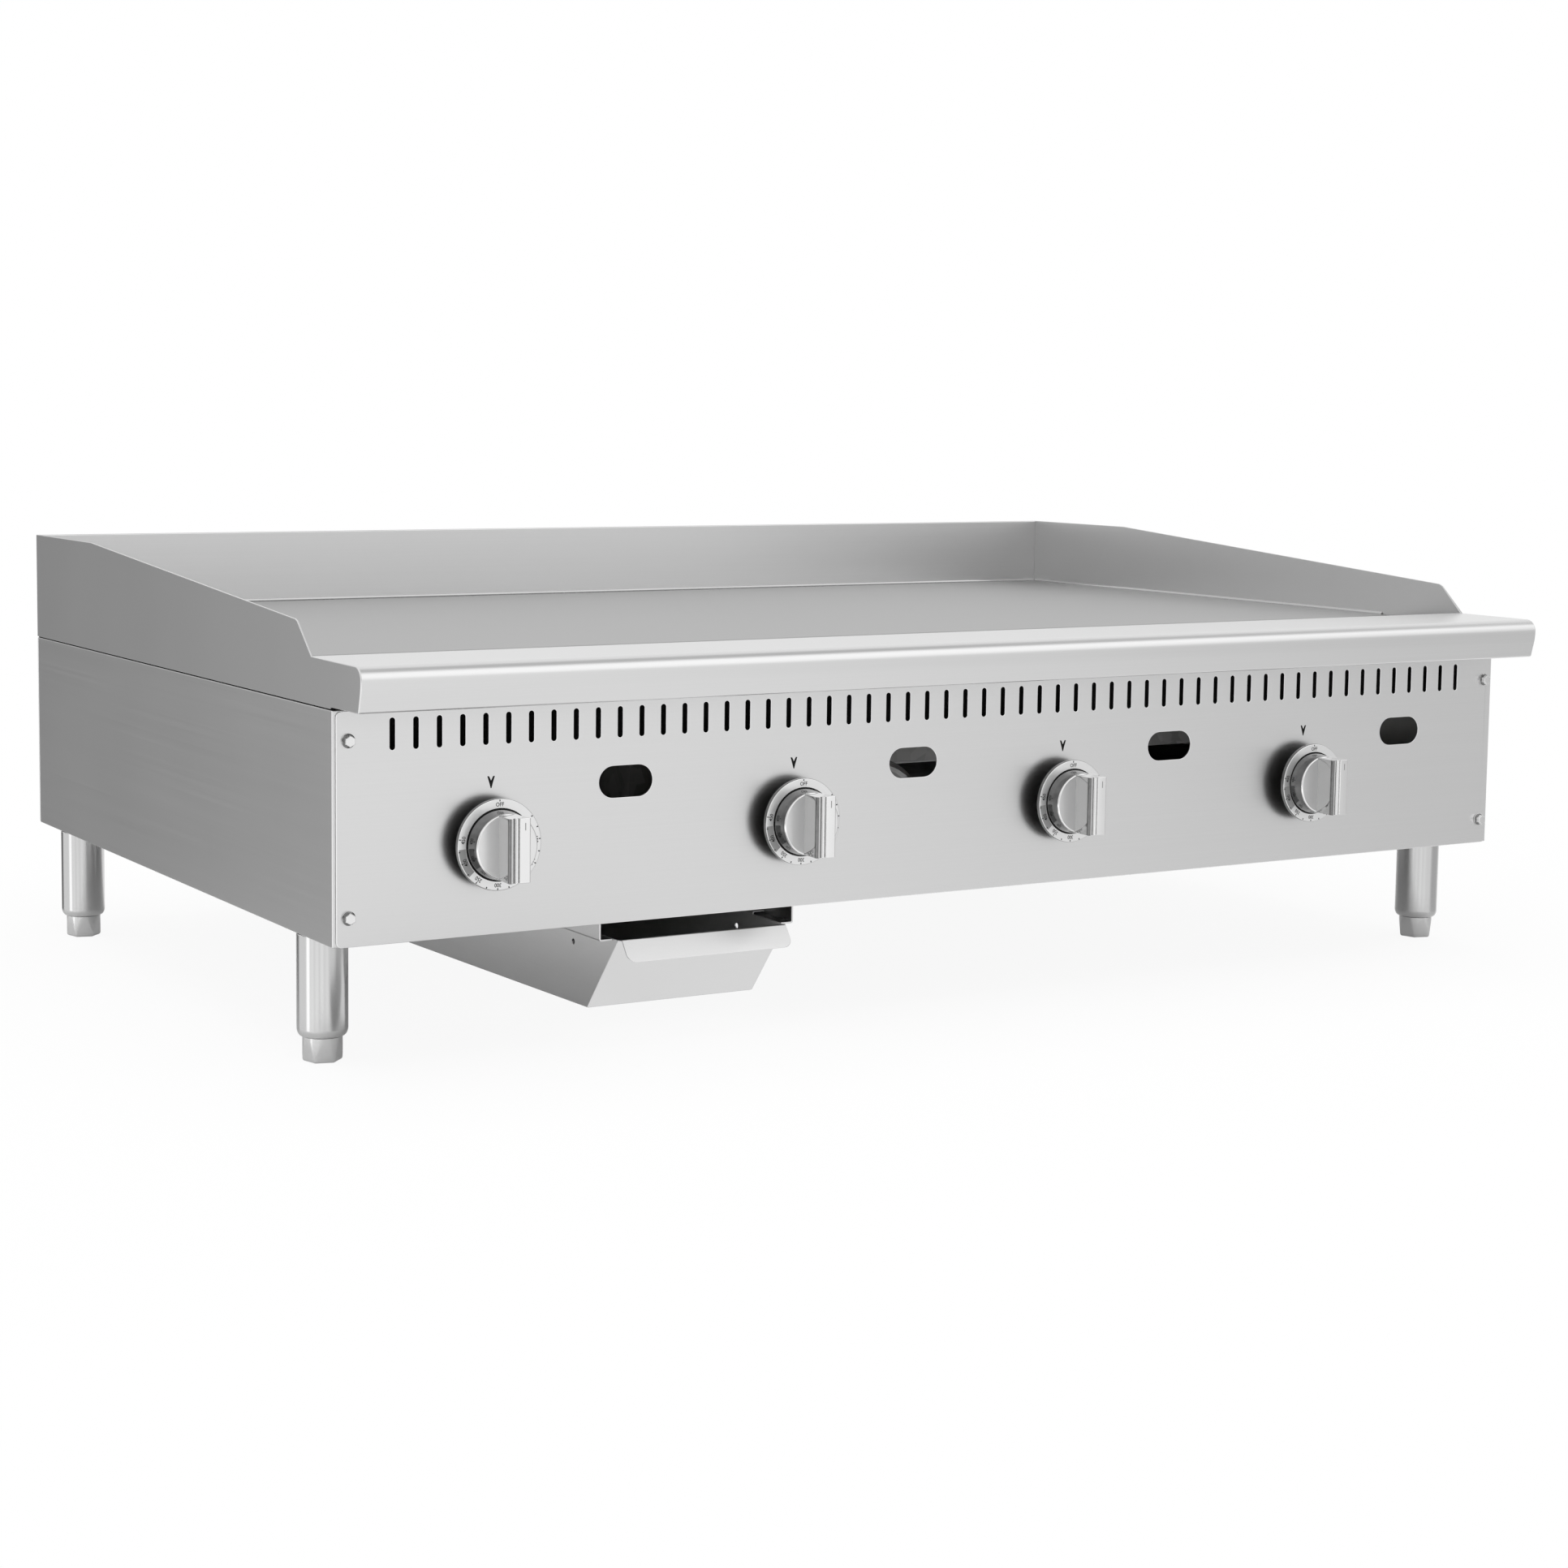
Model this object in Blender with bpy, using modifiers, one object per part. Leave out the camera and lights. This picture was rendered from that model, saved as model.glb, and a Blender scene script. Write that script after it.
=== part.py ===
"""Countertop gas griddle, 48 inches wide, with four thermostat controls.

The griddle stands on the floor plane z = 0, its width runs along X, its back faces +Y
and the controls face -Y. The origin is below the middle of the whole body.
"""
import math

import bmesh
import bpy
from mathutils import Matrix, Vector

# Driving dimensions in metres
WIDTH = 1.219
DEPTH = 0.800
LEG_HEIGHT = 0.1035
BODY_HEIGHT = 0.1847
SPLASH_RISE = 0.285
LEDGE_RISE = 0.222
OVERHANG = 0.054
SHEET = 0.0015
GAP = 0.0003
SLIVER = 0.0002
TOUCH = 0.001
CUT_START = 0.001

# Reference planes
HALF = WIDTH / 2
BACK = DEPTH / 2
FRONT = -DEPTH / 2 + OVERHANG
BASE = LEG_HEIGHT
SEAM = BASE + BODY_HEIGHT
INNER = HALF - SHEET - GAP

# Control panel
PANEL_HALF = HALF - 0.0026
PANEL_RISE = 0.186
PANEL_CORNER = 0.0045
PANEL_FLANGE = 0.014
PANEL_DRILL = 0.008
SLOT_COUNT = 57
SLOT_PITCH = 0.020
SLOT_WIDTH = 0.0045
SLOT_LENGTH = 0.0252
SLOT_RISE = 0.1641
CONTROL_COUNT = 4
CONTROL_PITCH = 0.281
FIRST_KNOB_X = -0.4755
KNOB_RISE = 0.074
SHAFT_HOLE = 0.007
PORT_OFFSET = 0.121
PORT_WIDTH = 0.049
PORT_HEIGHT = 0.026
PORT_RISE = 0.1155
BOLT_X = HALF - 0.0125
BOLT_RISES = (0.023, 0.1605)
BOLT_HOLE = 0.0033
VENT_COUNT = 12
VENT_PITCH = 0.090
VENT_SIZE = (0.062, 0.010)
VENT_RISE = 0.150

# Knob, as radii and as distances in front of the panel
KNOB_RADIUS = 0.0365
DIAL_INNER = 0.0290
DISC_RADIUS = 0.0265
HUB_RADIUS = 0.013
STEM_RADIUS = 0.004
STEM_BORE = STEM_RADIUS + GAP
KNOB_BACK = 0.0035
DIAL_FACE = 0.016
DISC_FACE = 0.030
GRIP_FACE = 0.048
GRIP_HALF = 0.009
BORE_END = DISC_FACE - 0.004
STEM_END = -0.040
STEM_BORE_DEPTH = 0.042
BONNET_RADIUS = 0.012
BONNET_REACH = (-0.007, -0.030)
VALVE_HALF = 0.020
VALVE_DEPTHS = (0.016, 0.064)
VALVE_TOP = 0.096

# Sides and legs
TOP_FLANGE = 0.014
BOTTOM_FLANGE = 0.045
LEG_X = HALF - 0.0206
LEG_Y = (FRONT + 0.0715, FRONT + 0.675)
LEG_RADIUS = 0.0205
LEG_ROUND = 0.006
FOOT_SHOWING = 0.0205
FOOT_RADIUS = 0.016
FOOT_STEM = 0.0125
FOOT_STEM_LENGTH = 0.045
FOOT_SOLE = 0.0125
FOOT_CHAMFER = 0.004
STUD_RADIUS = 0.006
STUD_ABOVE_PLATE = 0.008
BORE_SPARE = 0.003
LEG_PLATE = 0.004
LEG_PLATE_INSET = 0.0095
LEG_PLATE_HALF = 0.030
STUD_DRILL = 0.006

# Plate, splashes, ledge and trough
PLATE_THICK = 0.0254
PLATE_FRONT = FRONT + 0.139
HEM = 2 * SHEET
PLATE_BOTTOM = SEAM + GAP + HEM + GAP
PLATE_TOP = PLATE_BOTTOM + PLATE_THICK
KNEE_FRONT = (FRONT + 0.0725, BASE + 0.249)
KNEE_BACK_Y = FRONT + 0.5766
SLOPE_FOOT_Y = FRONT + 0.0423
KNEE_ROUND = 0.012
LEDGE_TOP = BASE + LEDGE_RISE
LEDGE_BOTTOM = BASE + PANEL_RISE + GAP
LEDGE_BACK = FRONT + 0.0475
LEDGE_RETURN = FRONT + 0.012
LEDGE_LIP = 0.020
NOSE_ROUND = 0.011
NOSE_LEAN = 0.0048
SPLASH_FLANGE_Y = (FRONT + 0.020, BACK - 0.004)
BACK_SPLASH_Y = (BACK - 0.0025, BACK - 0.0010)
TROUGH_FLOOR = BASE + 0.140
TROUGH_HALF = 0.5945
TROUGH_BACK = FRONT + 0.144
TROUGH_RIM_BACK = PLATE_BOTTOM - 0.0028
TROUGH_RIM_FRONT = LEDGE_TOP - 0.003
DRAIN_INSET = 0.003
DRAIN_CUT = 0.010

# Grease drawer and its rails
DRAWER_X = -0.2815
DRAWER_HALF = 0.080
DRAWER_SHEET = 0.0012
DRAWER_RIM = BASE - 0.0170
DRAWER_SIDE_RISE = 0.0045
DRAWER_FRONT_DEPTH = 0.0630
DRAWER_BACK_DEPTH = 0.0710
DRAWER_TOP_Y = FRONT - 0.0015
DRAWER_FOOT_Y = FRONT + 0.051
DRAWER_BACK_Y = FRONT + 0.515
DRAWER_FLANGE = 0.0105
FLAP_REACH = 0.0126
FLAP_DROP = 0.0145
FLAP_CORNER = 0.008
DRAWER_HOLE = 0.0025
DRAWER_HOLE_Y = FRONT + 0.0767
DRAWER_HOLE_Z = BASE - 0.0284
DRAWER_HOLE_SPARE = 0.005
RAIL_PLAY = 0.0007
RAIL_WEB = DRAWER_HALF + DRAWER_FLANGE + RAIL_PLAY + SHEET
RAIL_LIP = DRAWER_HALF + RAIL_PLAY
RAIL_DROP = 0.0143
RAIL_FOOT = 0.013
RAIL_Y = (FRONT + 0.007, FRONT + 0.530)
CHUTE_Y = FRONT + 0.096
CHUTE_SIZE = (0.064, 0.054)
CHUTE_BOTTOM = BASE - 0.003

# Floor and bearers
FLOOR_HALF = LEG_X - 0.011
FLOOR_END = 0.006
FLOOR_CLEAR = 0.001
BEARER_Y = TROUGH_BACK + 0.001
BEARER_DROP = 0.036
BEARER_LAP = 0.030
REST_SIZE = 0.024
REST_FRONT_Y = FRONT + 0.240
REST_REAR_Y = FRONT + 0.590

# Gas train
MANIFOLD_RADIUS = 0.0125
MANIFOLD_Y = FRONT + 0.046
MANIFOLD_Z = BASE + 0.046
MANIFOLD_START_X = FIRST_KNOB_X - 0.035
INLET_X = 0.545
INLET_BEND = 0.040
INLET_LEAD = 0.010
BURNER_OFFSET = 0.0605
BURNER_SPREAD = 0.045
BURNER_RADIUS = 0.013
BURNER_Z = BASE + 0.118
BURNER_INLET_Y = FRONT + 0.095
BURNER_FRONT_Y = FRONT + 0.200
BURNER_BACK_Y = FRONT + 0.650
MOUTH_WIDTHS = ((0.0, 1.35), (0.012, 1.30), (0.035, 0.75), (0.100, 1.0))
TUBE_RADIUS = 0.005
TUBE_START = (VALVE_HALF + GAP, FRONT + 0.040, BASE + 0.082)
TUBE_LEAD = 0.008
WIDE_TUBE = 2
WIDE_RISE = 0.035
WIDE_BOW = 0.045
PILOT_RADIUS = 0.003
PILOT_TIP = 1.8


def clear_scene():
    for old in list(bpy.data.objects):
        bpy.data.objects.remove(old, do_unlink=True)


def new_collection(name):
    collection = bpy.data.collections.new(name)
    bpy.context.scene.collection.children.link(collection)
    return collection


def new_material(name, colour, roughness, metallic):
    made = bpy.data.materials.new(name)
    made.use_nodes = True
    shader = made.node_tree.nodes["Principled BSDF"]
    shader.inputs["Base Color"].default_value = (*colour, 1.0)
    shader.inputs["Roughness"].default_value = roughness
    shader.inputs["Metallic"].default_value = metallic
    return made


clear_scene()
PARTS = new_collection("countertop_gas_griddle")
TOOLS = new_collection("cutters")
STAINLESS = new_material("brushed_stainless", (0.60, 0.60, 0.61), 0.32, 1.0)
PLATE_STEEL = new_material("ground_plate_steel", (0.42, 0.42, 0.43), 0.45, 1.0)
CHROME = new_material("polished_chrome", (0.80, 0.80, 0.81), 0.10, 1.0)
ZINC = new_material("zinc_plated_steel", (0.70, 0.71, 0.72), 0.25, 1.0)
GALVANISED = new_material("galvanised_steel", (0.45, 0.46, 0.47), 0.50, 1.0)
BLACK_PIPE = new_material("black_iron_pipe", (0.05, 0.05, 0.05), 0.60, 0.6)
BURNER_STEEL = new_material("aluminised_steel", (0.38, 0.37, 0.36), 0.55, 1.0)
BRASS = new_material("brass", (0.66, 0.50, 0.24), 0.35, 1.0)
ALUMINIUM = new_material("aluminium_tube", (0.66, 0.67, 0.68), 0.40, 1.0)


def place(name, mesh, finish, collection=PARTS, matrix=Matrix.Identity(4)):
    mesh.name = name
    mesh.materials.clear()
    mesh.materials.append(finish)
    made = bpy.data.objects.new(name, mesh)
    made.matrix_world = matrix
    collection.objects.link(made)
    return made


def tool(name, mesh, matrix=Matrix.Identity(4)):
    made = place(name, mesh, STAINLESS, TOOLS, matrix)
    made.hide_render = True
    made.display_type = "WIRE"
    return made


def shade_round(piece, angle=35):
    piece.data.shade_smooth()
    piece.data.set_sharp_from_angle(angle=math.radians(angle))


def box_mesh(low, high):
    low = Vector(low)
    high = Vector(high)
    cube = bmesh.new()
    bmesh.ops.create_cube(cube, size=1.0)
    size = Matrix.Diagonal((*(high - low), 1.0))
    bmesh.ops.transform(cube, matrix=Matrix.Translation((low + high) / 2) @ size, verts=cube.verts)
    mesh = bpy.data.meshes.new("box")
    cube.to_mesh(mesh)
    cube.free()
    return mesh


def cylinder_mesh(radius, length, sides):
    """A cylinder on +Z that starts at the origin."""
    round_bar = bmesh.new()
    bmesh.ops.create_cone(round_bar, cap_ends=True, segments=sides, radius1=radius,
                          radius2=radius, depth=length)
    bmesh.ops.translate(round_bar, vec=(0, 0, length / 2), verts=round_bar.verts)
    mesh = bpy.data.meshes.new("cylinder")
    round_bar.to_mesh(mesh)
    round_bar.free()
    return mesh


def welded_mesh(shape):
    """The evaluated shape as a mesh with its loose caps welded on."""
    bpy.context.view_layer.update()
    graph = bpy.context.evaluated_depsgraph_get()
    mesh = bpy.data.meshes.new_from_object(shape.evaluated_get(graph))
    weld = bmesh.new()
    weld.from_mesh(mesh)
    bmesh.ops.remove_doubles(weld, verts=weld.verts, dist=0.00001)
    weld.to_mesh(mesh)
    weld.free()
    data = shape.data
    bpy.data.objects.remove(shape)
    bpy.data.curves.remove(data)
    return mesh


def outline_mesh(loops, thickness):
    """A flat plate from closed outlines in its own XY plane, centred on z = 0."""
    curve = bpy.data.curves.new("outline", "CURVE")
    curve.dimensions = "2D"
    curve.fill_mode = "BOTH"
    curve.extrude = thickness / 2
    for loop in loops:
        spline = curve.splines.new("POLY")
        spline.points.add(len(loop) - 1)
        for point, (x, y) in zip(spline.points, loop):
            point.co = (x, y, 0.0, 1.0)
        spline.use_cyclic_u = True
    shape = bpy.data.objects.new("outline", curve)
    TOOLS.objects.link(shape)
    return welded_mesh(shape)


def arc(centre, radius, start, end, steps):
    points = []
    for step in range(steps + 1):
        angle = math.radians(start + (end - start) * step / steps)
        points.append((centre[0] + radius * math.cos(angle), centre[1] + radius * math.sin(angle)))
    return points


def circle(centre, radius, steps):
    return arc(centre, radius, 0, 360, steps)[:-1]


def rectangle(low, high):
    return [low, (high[0], low[1]), high, (low[0], high[1])]


def obround(centre, width, height, steps):
    """A slot with round ends, upright or level."""
    radius = min(width, height) / 2
    reach = max(width, height) / 2 - radius
    if height > width:
        top = arc((centre[0], centre[1] + reach), radius, 0, 180, steps)
        return top + arc((centre[0], centre[1] - reach), radius, 180, 360, steps)
    right = arc((centre[0] + reach, centre[1]), radius, -90, 90, steps)
    return right + arc((centre[0] - reach, centre[1]), radius, 90, 270, steps)


def facing_front(y):
    """Outline x to world X, outline y to world Z, with the plate's middle at y."""
    return Matrix.Translation((0, y, 0)) @ Matrix.Rotation(math.pi / 2, 4, "X")


def pointing_front(point):
    """A shape's own +Z turned to face the front, -Y, from a point."""
    return Matrix.Translation(point) @ Matrix.Rotation(math.pi / 2, 4, "X")


def facing_side(x):
    """Outline x to world Y, outline y to world Z, with the plate's middle at x."""
    turn = Matrix(((0, 0, 1, 0), (1, 0, 0, 0), (0, 1, 0, 0), (0, 0, 0, 1)))
    return Matrix.Translation((x, 0, 0)) @ turn


def folded_strip(path, start, end, along):
    """An open strip of sheet: a path of two coordinates, drawn out along X or Y."""
    strip = bmesh.new()
    rows = []
    for position in (start, end):
        if along == "X":
            rows.append([strip.verts.new((position, a, b)) for a, b in path])
        else:
            rows.append([strip.verts.new((a, position, b)) for a, b in path])
    for step in range(len(path) - 1):
        strip.faces.new((rows[0][step], rows[0][step + 1], rows[1][step + 1], rows[1][step]))
    mesh = bpy.data.meshes.new("strip")
    strip.to_mesh(mesh)
    strip.free()
    return mesh


def solidify(piece, thickness, offset=-1.0):
    shell = piece.modifiers.new("sheet", "SOLIDIFY")
    shell.thickness = thickness
    shell.offset = offset
    shell.use_even_offset = True
    shell.use_quality_normals = True


def combine(piece, other, operation):
    change = piece.modifiers.new(other.name, "BOOLEAN")
    change.operation = operation
    change.object = other
    change.solver = "EXACT"


def drill(piece, name, radius, start, length, along, sides=16):
    turns = {"X": Matrix.Rotation(math.pi / 2, 4, "Y"),
             "Y": Matrix.Rotation(-math.pi / 2, 4, "X"),
             "Z": Matrix.Identity(4)}
    matrix = Matrix.Translation(start) @ turns[along]
    combine(piece, tool(name, cylinder_mesh(radius, length, sides), matrix), "DIFFERENCE")


def turned(name, profile, sides, finish, matrix, collection=PARTS):
    """A closed turned shape: the profile runs from the axis round to the axis."""
    mesh = bpy.data.meshes.new(name)
    edges = [(step, step + 1) for step in range(len(profile) - 1)]
    mesh.from_pydata([(radius, 0.0, height) for radius, height in profile], edges, [])
    made = place(name, mesh, finish, collection, matrix)
    screw = made.modifiers.new("turn", "SCREW")
    screw.steps = sides
    screw.render_steps = sides
    screw.use_merge_vertices = True
    screw.merge_threshold = 0.00001
    screw.use_smooth_shade = True
    return made


def smooth_route(points, steps):
    """Points on a smooth curve through the given ones."""
    points = [Vector(point) for point in points]
    ends = [2 * points[0] - points[1], *points, 2 * points[-1] - points[-2]]
    route = []
    for index in range(1, len(ends) - 2):
        before, here, there, after = ends[index - 1:index + 3]
        for step in range(steps):
            t = step / steps
            route.append(0.5 * (2 * here + (there - before) * t
                                + (2 * before - 5 * here + 4 * there - after) * t * t
                                + (3 * here - before - 3 * there + after) * t ** 3))
    route.append(points[-1])
    return route


def tube(name, route, radius, finish, widths=None):
    """A round bar along a route, with a width factor at each point if given."""
    curve = bpy.data.curves.new(name, "CURVE")
    curve.dimensions = "3D"
    curve.bevel_depth = radius
    curve.bevel_resolution = 2
    curve.use_fill_caps = True
    spline = curve.splines.new("POLY")
    spline.points.add(len(route) - 1)
    for index, point in enumerate(spline.points):
        point.co = (*route[index], 1.0)
        point.radius = widths[index] if widths else 1.0
    curve.materials.append(finish)
    made = bpy.data.objects.new(name, curve)
    PARTS.objects.link(made)
    return made


def knob_x(index):
    return FIRST_KNOB_X + CONTROL_PITCH * index


def splash_outline():
    """Side splash and ledge end in one flat plate, as (y, z) points."""
    slope = Vector((SLOPE_FOOT_Y, LEDGE_TOP))
    knee = Vector(KNEE_FRONT)
    rear = Vector((KNEE_BACK_Y, BASE + SPLASH_RISE))
    to_foot = (slope - knee).normalized()
    to_rear = (rear - knee).normalized()
    bend = to_foot.angle(to_rear)
    tangent = KNEE_ROUND / math.tan(bend / 2)
    centre = knee + (to_foot + to_rear).normalized() * (KNEE_ROUND / math.sin(bend / 2))
    first = knee + to_foot * tangent - centre
    last = knee + to_rear * tangent - centre
    start = math.degrees(math.atan2(first.y, first.x))
    end = math.degrees(math.atan2(last.y, last.x))
    rounded = arc(centre, KNEE_ROUND, start, end, 4)
    bottom = SEAM + GAP
    outline = [(BACK, bottom)]
    outline += nose_points(bottom)
    outline += [tuple(slope)]
    outline += rounded
    outline += [tuple(rear), (BACK, BASE + SPLASH_RISE)]
    return outline


def nose_points(bottom):
    """The ledge's nose from its lower edge up and over to its flat top."""
    nose = FRONT - OVERHANG
    centre = (nose + NOSE_ROUND, LEDGE_TOP - NOSE_ROUND)
    return [(nose + NOSE_LEAN, bottom)] + arc(centre, NOSE_ROUND, 180, 90, 5)


def side_panel(name, side):
    """A shallow pan: the outer skin with its edges folded inwards."""
    cube = bmesh.new()
    bmesh.ops.create_cube(cube, size=1.0)
    for vert in cube.verts:
        top = vert.co.z > 0
        inner = vert.co.x * side < 0
        reach = TOP_FLANGE if top else BOTTOM_FLANGE
        vert.co.x = side * (HALF - reach if inner else HALF)
        vert.co.y = BACK - SHEET - GAP if vert.co.y > 0 else FRONT + SHEET + GAP
        vert.co.z = SEAM if top else BASE
    inside = [face for face in cube.faces if all(abs(v.co.x) < HALF - TOUCH for v in face.verts)]
    bmesh.ops.delete(cube, geom=inside, context="FACES")
    bmesh.ops.recalc_face_normals(cube, faces=cube.faces)
    skin = max(cube.faces, key=lambda face: abs(face.calc_center_median().x))
    if skin.normal.x * side < 0:
        bmesh.ops.reverse_faces(cube, faces=cube.faces)
    mesh = bpy.data.meshes.new(name)
    cube.to_mesh(mesh)
    cube.free()
    panel = place(name, mesh, STAINLESS)
    solidify(panel, SHEET)
    for number, rise in enumerate(BOLT_RISES):
        start = (side * BOLT_X, FRONT - CUT_START, BASE + rise)
        drill(panel, f"{name}_bolt_hole_{number}", BOLT_HOLE, start, PANEL_DRILL, "Y", 12)
    for number, leg_y in enumerate(LEG_Y):
        start = (side * LEG_X, leg_y, BASE - CUT_START)
        drill(panel, f"{name}_stud_hole_{number}", STUD_RADIUS + GAP, start, STUD_DRILL, "Z", 12)


def back_panel():
    """The rear skin, with a row of vents and the hole for the gas inlet."""
    loops = [rectangle((-HALF, BASE), (HALF, SEAM))]
    for number in range(VENT_COUNT):
        x = (number - (VENT_COUNT - 1) / 2) * VENT_PITCH
        loops.append(obround((x, BASE + VENT_RISE), *VENT_SIZE, 4))
    loops.append(circle((INLET_X, MANIFOLD_Z), MANIFOLD_RADIUS + 2 * GAP, 16))
    mesh = outline_mesh(loops, SHEET)
    place("back_panel", mesh, STAINLESS, matrix=facing_front(BACK - SHEET / 2))


def front_panel():
    """The control panel, with its row of air slots, lighting ports and shaft holes."""
    corner = PANEL_CORNER
    low = (-PANEL_HALF, BASE)
    high = (PANEL_HALF, BASE + PANEL_RISE)
    loop = arc((low[0] + corner, low[1] + corner), corner, 180, 270, 3)
    loop += arc((high[0] - corner, low[1] + corner), corner, 270, 360, 3)
    loop += arc((high[0] - corner, high[1] - corner), corner, 0, 90, 3)
    loop += arc((low[0] + corner, high[1] - corner), corner, 90, 180, 3)
    loops = [loop]
    for slot in range(SLOT_COUNT):
        x = (slot - (SLOT_COUNT - 1) / 2) * SLOT_PITCH
        loops.append(obround((x, BASE + SLOT_RISE), SLOT_WIDTH, SLOT_LENGTH, 3))
    for control in range(CONTROL_COUNT):
        loops.append(circle((knob_x(control), BASE + KNOB_RISE), SHAFT_HOLE, 16))
        port = (knob_x(control) + PORT_OFFSET, BASE + PORT_RISE)
        loops.append(obround(port, PORT_WIDTH, PORT_HEIGHT, 8))
    for side in (-1, 1):
        for rise in BOLT_RISES:
            loops.append(circle((side * BOLT_X, BASE + rise), BOLT_HOLE, 12))
    panel = place("front_panel", outline_mesh(loops, SHEET), STAINLESS,
                  matrix=facing_front(FRONT + SHEET / 2))
    flange_top = high[1] - SLIVER
    low = (-TROUGH_HALF, FRONT + SHEET / 2, flange_top - SHEET)
    high = (TROUGH_HALF, FRONT + PANEL_FLANGE, flange_top)
    combine(panel, tool("front_panel_flange", box_mesh(low, high)), "UNION")


def front_ledge():
    """One folded sheet: bottom return, leaning front, round nose, flat top and back lip."""
    path = [(LEDGE_RETURN, LEDGE_BOTTOM)]
    path += nose_points(LEDGE_BOTTOM)
    path += [(LEDGE_BACK, LEDGE_TOP), (LEDGE_BACK, LEDGE_TOP - LEDGE_LIP)]
    ledge = place("front_ledge", folded_strip(path, -INNER, INNER, "X"), STAINLESS)
    solidify(ledge, SHEET, 1.0)


def splashes():
    """Two side splashes with a folded foot, and the back splash between them."""
    for name, side in (("left_splash", -1), ("right_splash", 1)):
        x = side * (HALF - SHEET / 2)
        mesh = outline_mesh([splash_outline()], SHEET)
        splash = place(name, mesh, STAINLESS, matrix=facing_side(x))
        inner = side * (HALF - TOP_FLANGE)
        low = (min(inner, x), SPLASH_FLANGE_Y[0], SEAM + GAP + SLIVER)
        high = (max(inner, x), SPLASH_FLANGE_Y[1], SEAM + GAP + HEM)
        combine(splash, tool(f"{name}_flange", box_mesh(low, high)), "UNION")
    low = (-INNER, BACK_SPLASH_Y[0], SEAM + GAP)
    high = (INNER, BACK_SPLASH_Y[1], BASE + SPLASH_RISE)
    place("back_splash", box_mesh(low, high), STAINLESS)


def griddle_plate():
    """The thick cooking plate, close against the three splashes."""
    low = (-INNER, PLATE_FRONT, PLATE_BOTTOM)
    high = (INNER, BACK_SPLASH_Y[0] - GAP, PLATE_TOP)
    place("griddle_plate", box_mesh(low, high), PLATE_STEEL)


def open_pan(low, high):
    """A box without its lid, as an open surface whose faces point out."""
    cube = bmesh.new()
    cube.from_mesh(box_mesh(low, high))
    cube.normal_update()
    lid = [face for face in cube.faces if face.normal.z > 0.5]
    bmesh.ops.delete(cube, geom=lid, context="FACES")
    return cube


def grease_trough():
    """A channel across the front of the plate, with a high front wall and a drain hole."""
    front_y = LEDGE_BACK + GAP
    pan = open_pan((-TROUGH_HALF, front_y, TROUGH_FLOOR - SHEET),
                   (TROUGH_HALF, TROUGH_BACK, TROUGH_RIM_BACK))
    for vert in pan.verts:
        if vert.co.z > TROUGH_FLOOR and vert.co.y < front_y + TOUCH:
            vert.co.z = TROUGH_RIM_FRONT
    mesh = bpy.data.meshes.new("grease_trough")
    pan.to_mesh(mesh)
    pan.free()
    trough = place("grease_trough", mesh, STAINLESS)
    solidify(trough, SHEET)
    half_x = CHUTE_SIZE[0] / 2 - DRAIN_INSET
    half_y = CHUTE_SIZE[1] / 2 - DRAIN_INSET
    low = (DRAWER_X - half_x, CHUTE_Y - half_y, TROUGH_FLOOR - DRAIN_CUT)
    high = (DRAWER_X + half_x, CHUTE_Y + half_y, TROUGH_FLOOR + DRAIN_CUT)
    combine(trough, tool("drain_cutter", box_mesh(low, high)), "DIFFERENCE")


def grease_chute():
    """A square duct from the trough's drain down to the drawer."""
    top = TROUGH_FLOOR - SHEET - GAP
    half_x = CHUTE_SIZE[0] / 2
    half_y = CHUTE_SIZE[1] / 2
    outer = rectangle((-half_x, -half_y), (half_x, half_y))
    inner = [(x - math.copysign(SHEET, x), y - math.copysign(SHEET, y)) for x, y in outer]
    matrix = Matrix.Translation((DRAWER_X, CHUTE_Y, (top + CHUTE_BOTTOM) / 2))
    place("grease_chute", outline_mesh([outer, inner], top - CHUTE_BOTTOM), GALVANISED, matrix=matrix)


def bottom_pan():
    """The floor under the burners, on the folded edges of the side panels; open in front for air."""
    front = CHUTE_Y + CHUTE_SIZE[1] / 2 + FLOOR_CLEAR
    floor = rectangle((-FLOOR_HALF, front), (FLOOR_HALF, BACK - FLOOR_END))
    matrix = Matrix.Translation((0, 0, BASE + SHEET + GAP + SHEET / 2))
    place("bottom_pan", outline_mesh([floor], SHEET), GALVANISED, matrix=matrix)


def angle_bar(name, y, top, drop, lap, half):
    """An L bar across the body: a level leg under the load and a hanging leg."""
    loop = [(y, top), (y, top - drop), (y + HEM, top - drop), (y + HEM, top - HEM),
            (y + lap, top - HEM), (y + lap, top)]
    place(name, outline_mesh([loop], 2 * half), GALVANISED, matrix=facing_side(0))


def bearers():
    """One bar under the plate's front edge and two that carry the burners."""
    angle_bar("plate_bearer", BEARER_Y, PLATE_BOTTOM - GAP, BEARER_DROP, BEARER_LAP, TROUGH_HALF)
    rest_top = BURNER_Z - BURNER_RADIUS - GAP
    angle_bar("burner_rest_front", REST_FRONT_Y, rest_top, REST_SIZE, REST_SIZE, INNER)
    angle_bar("burner_rest_rear", REST_REAR_Y, rest_top, REST_SIZE, REST_SIZE, INNER)


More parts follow.
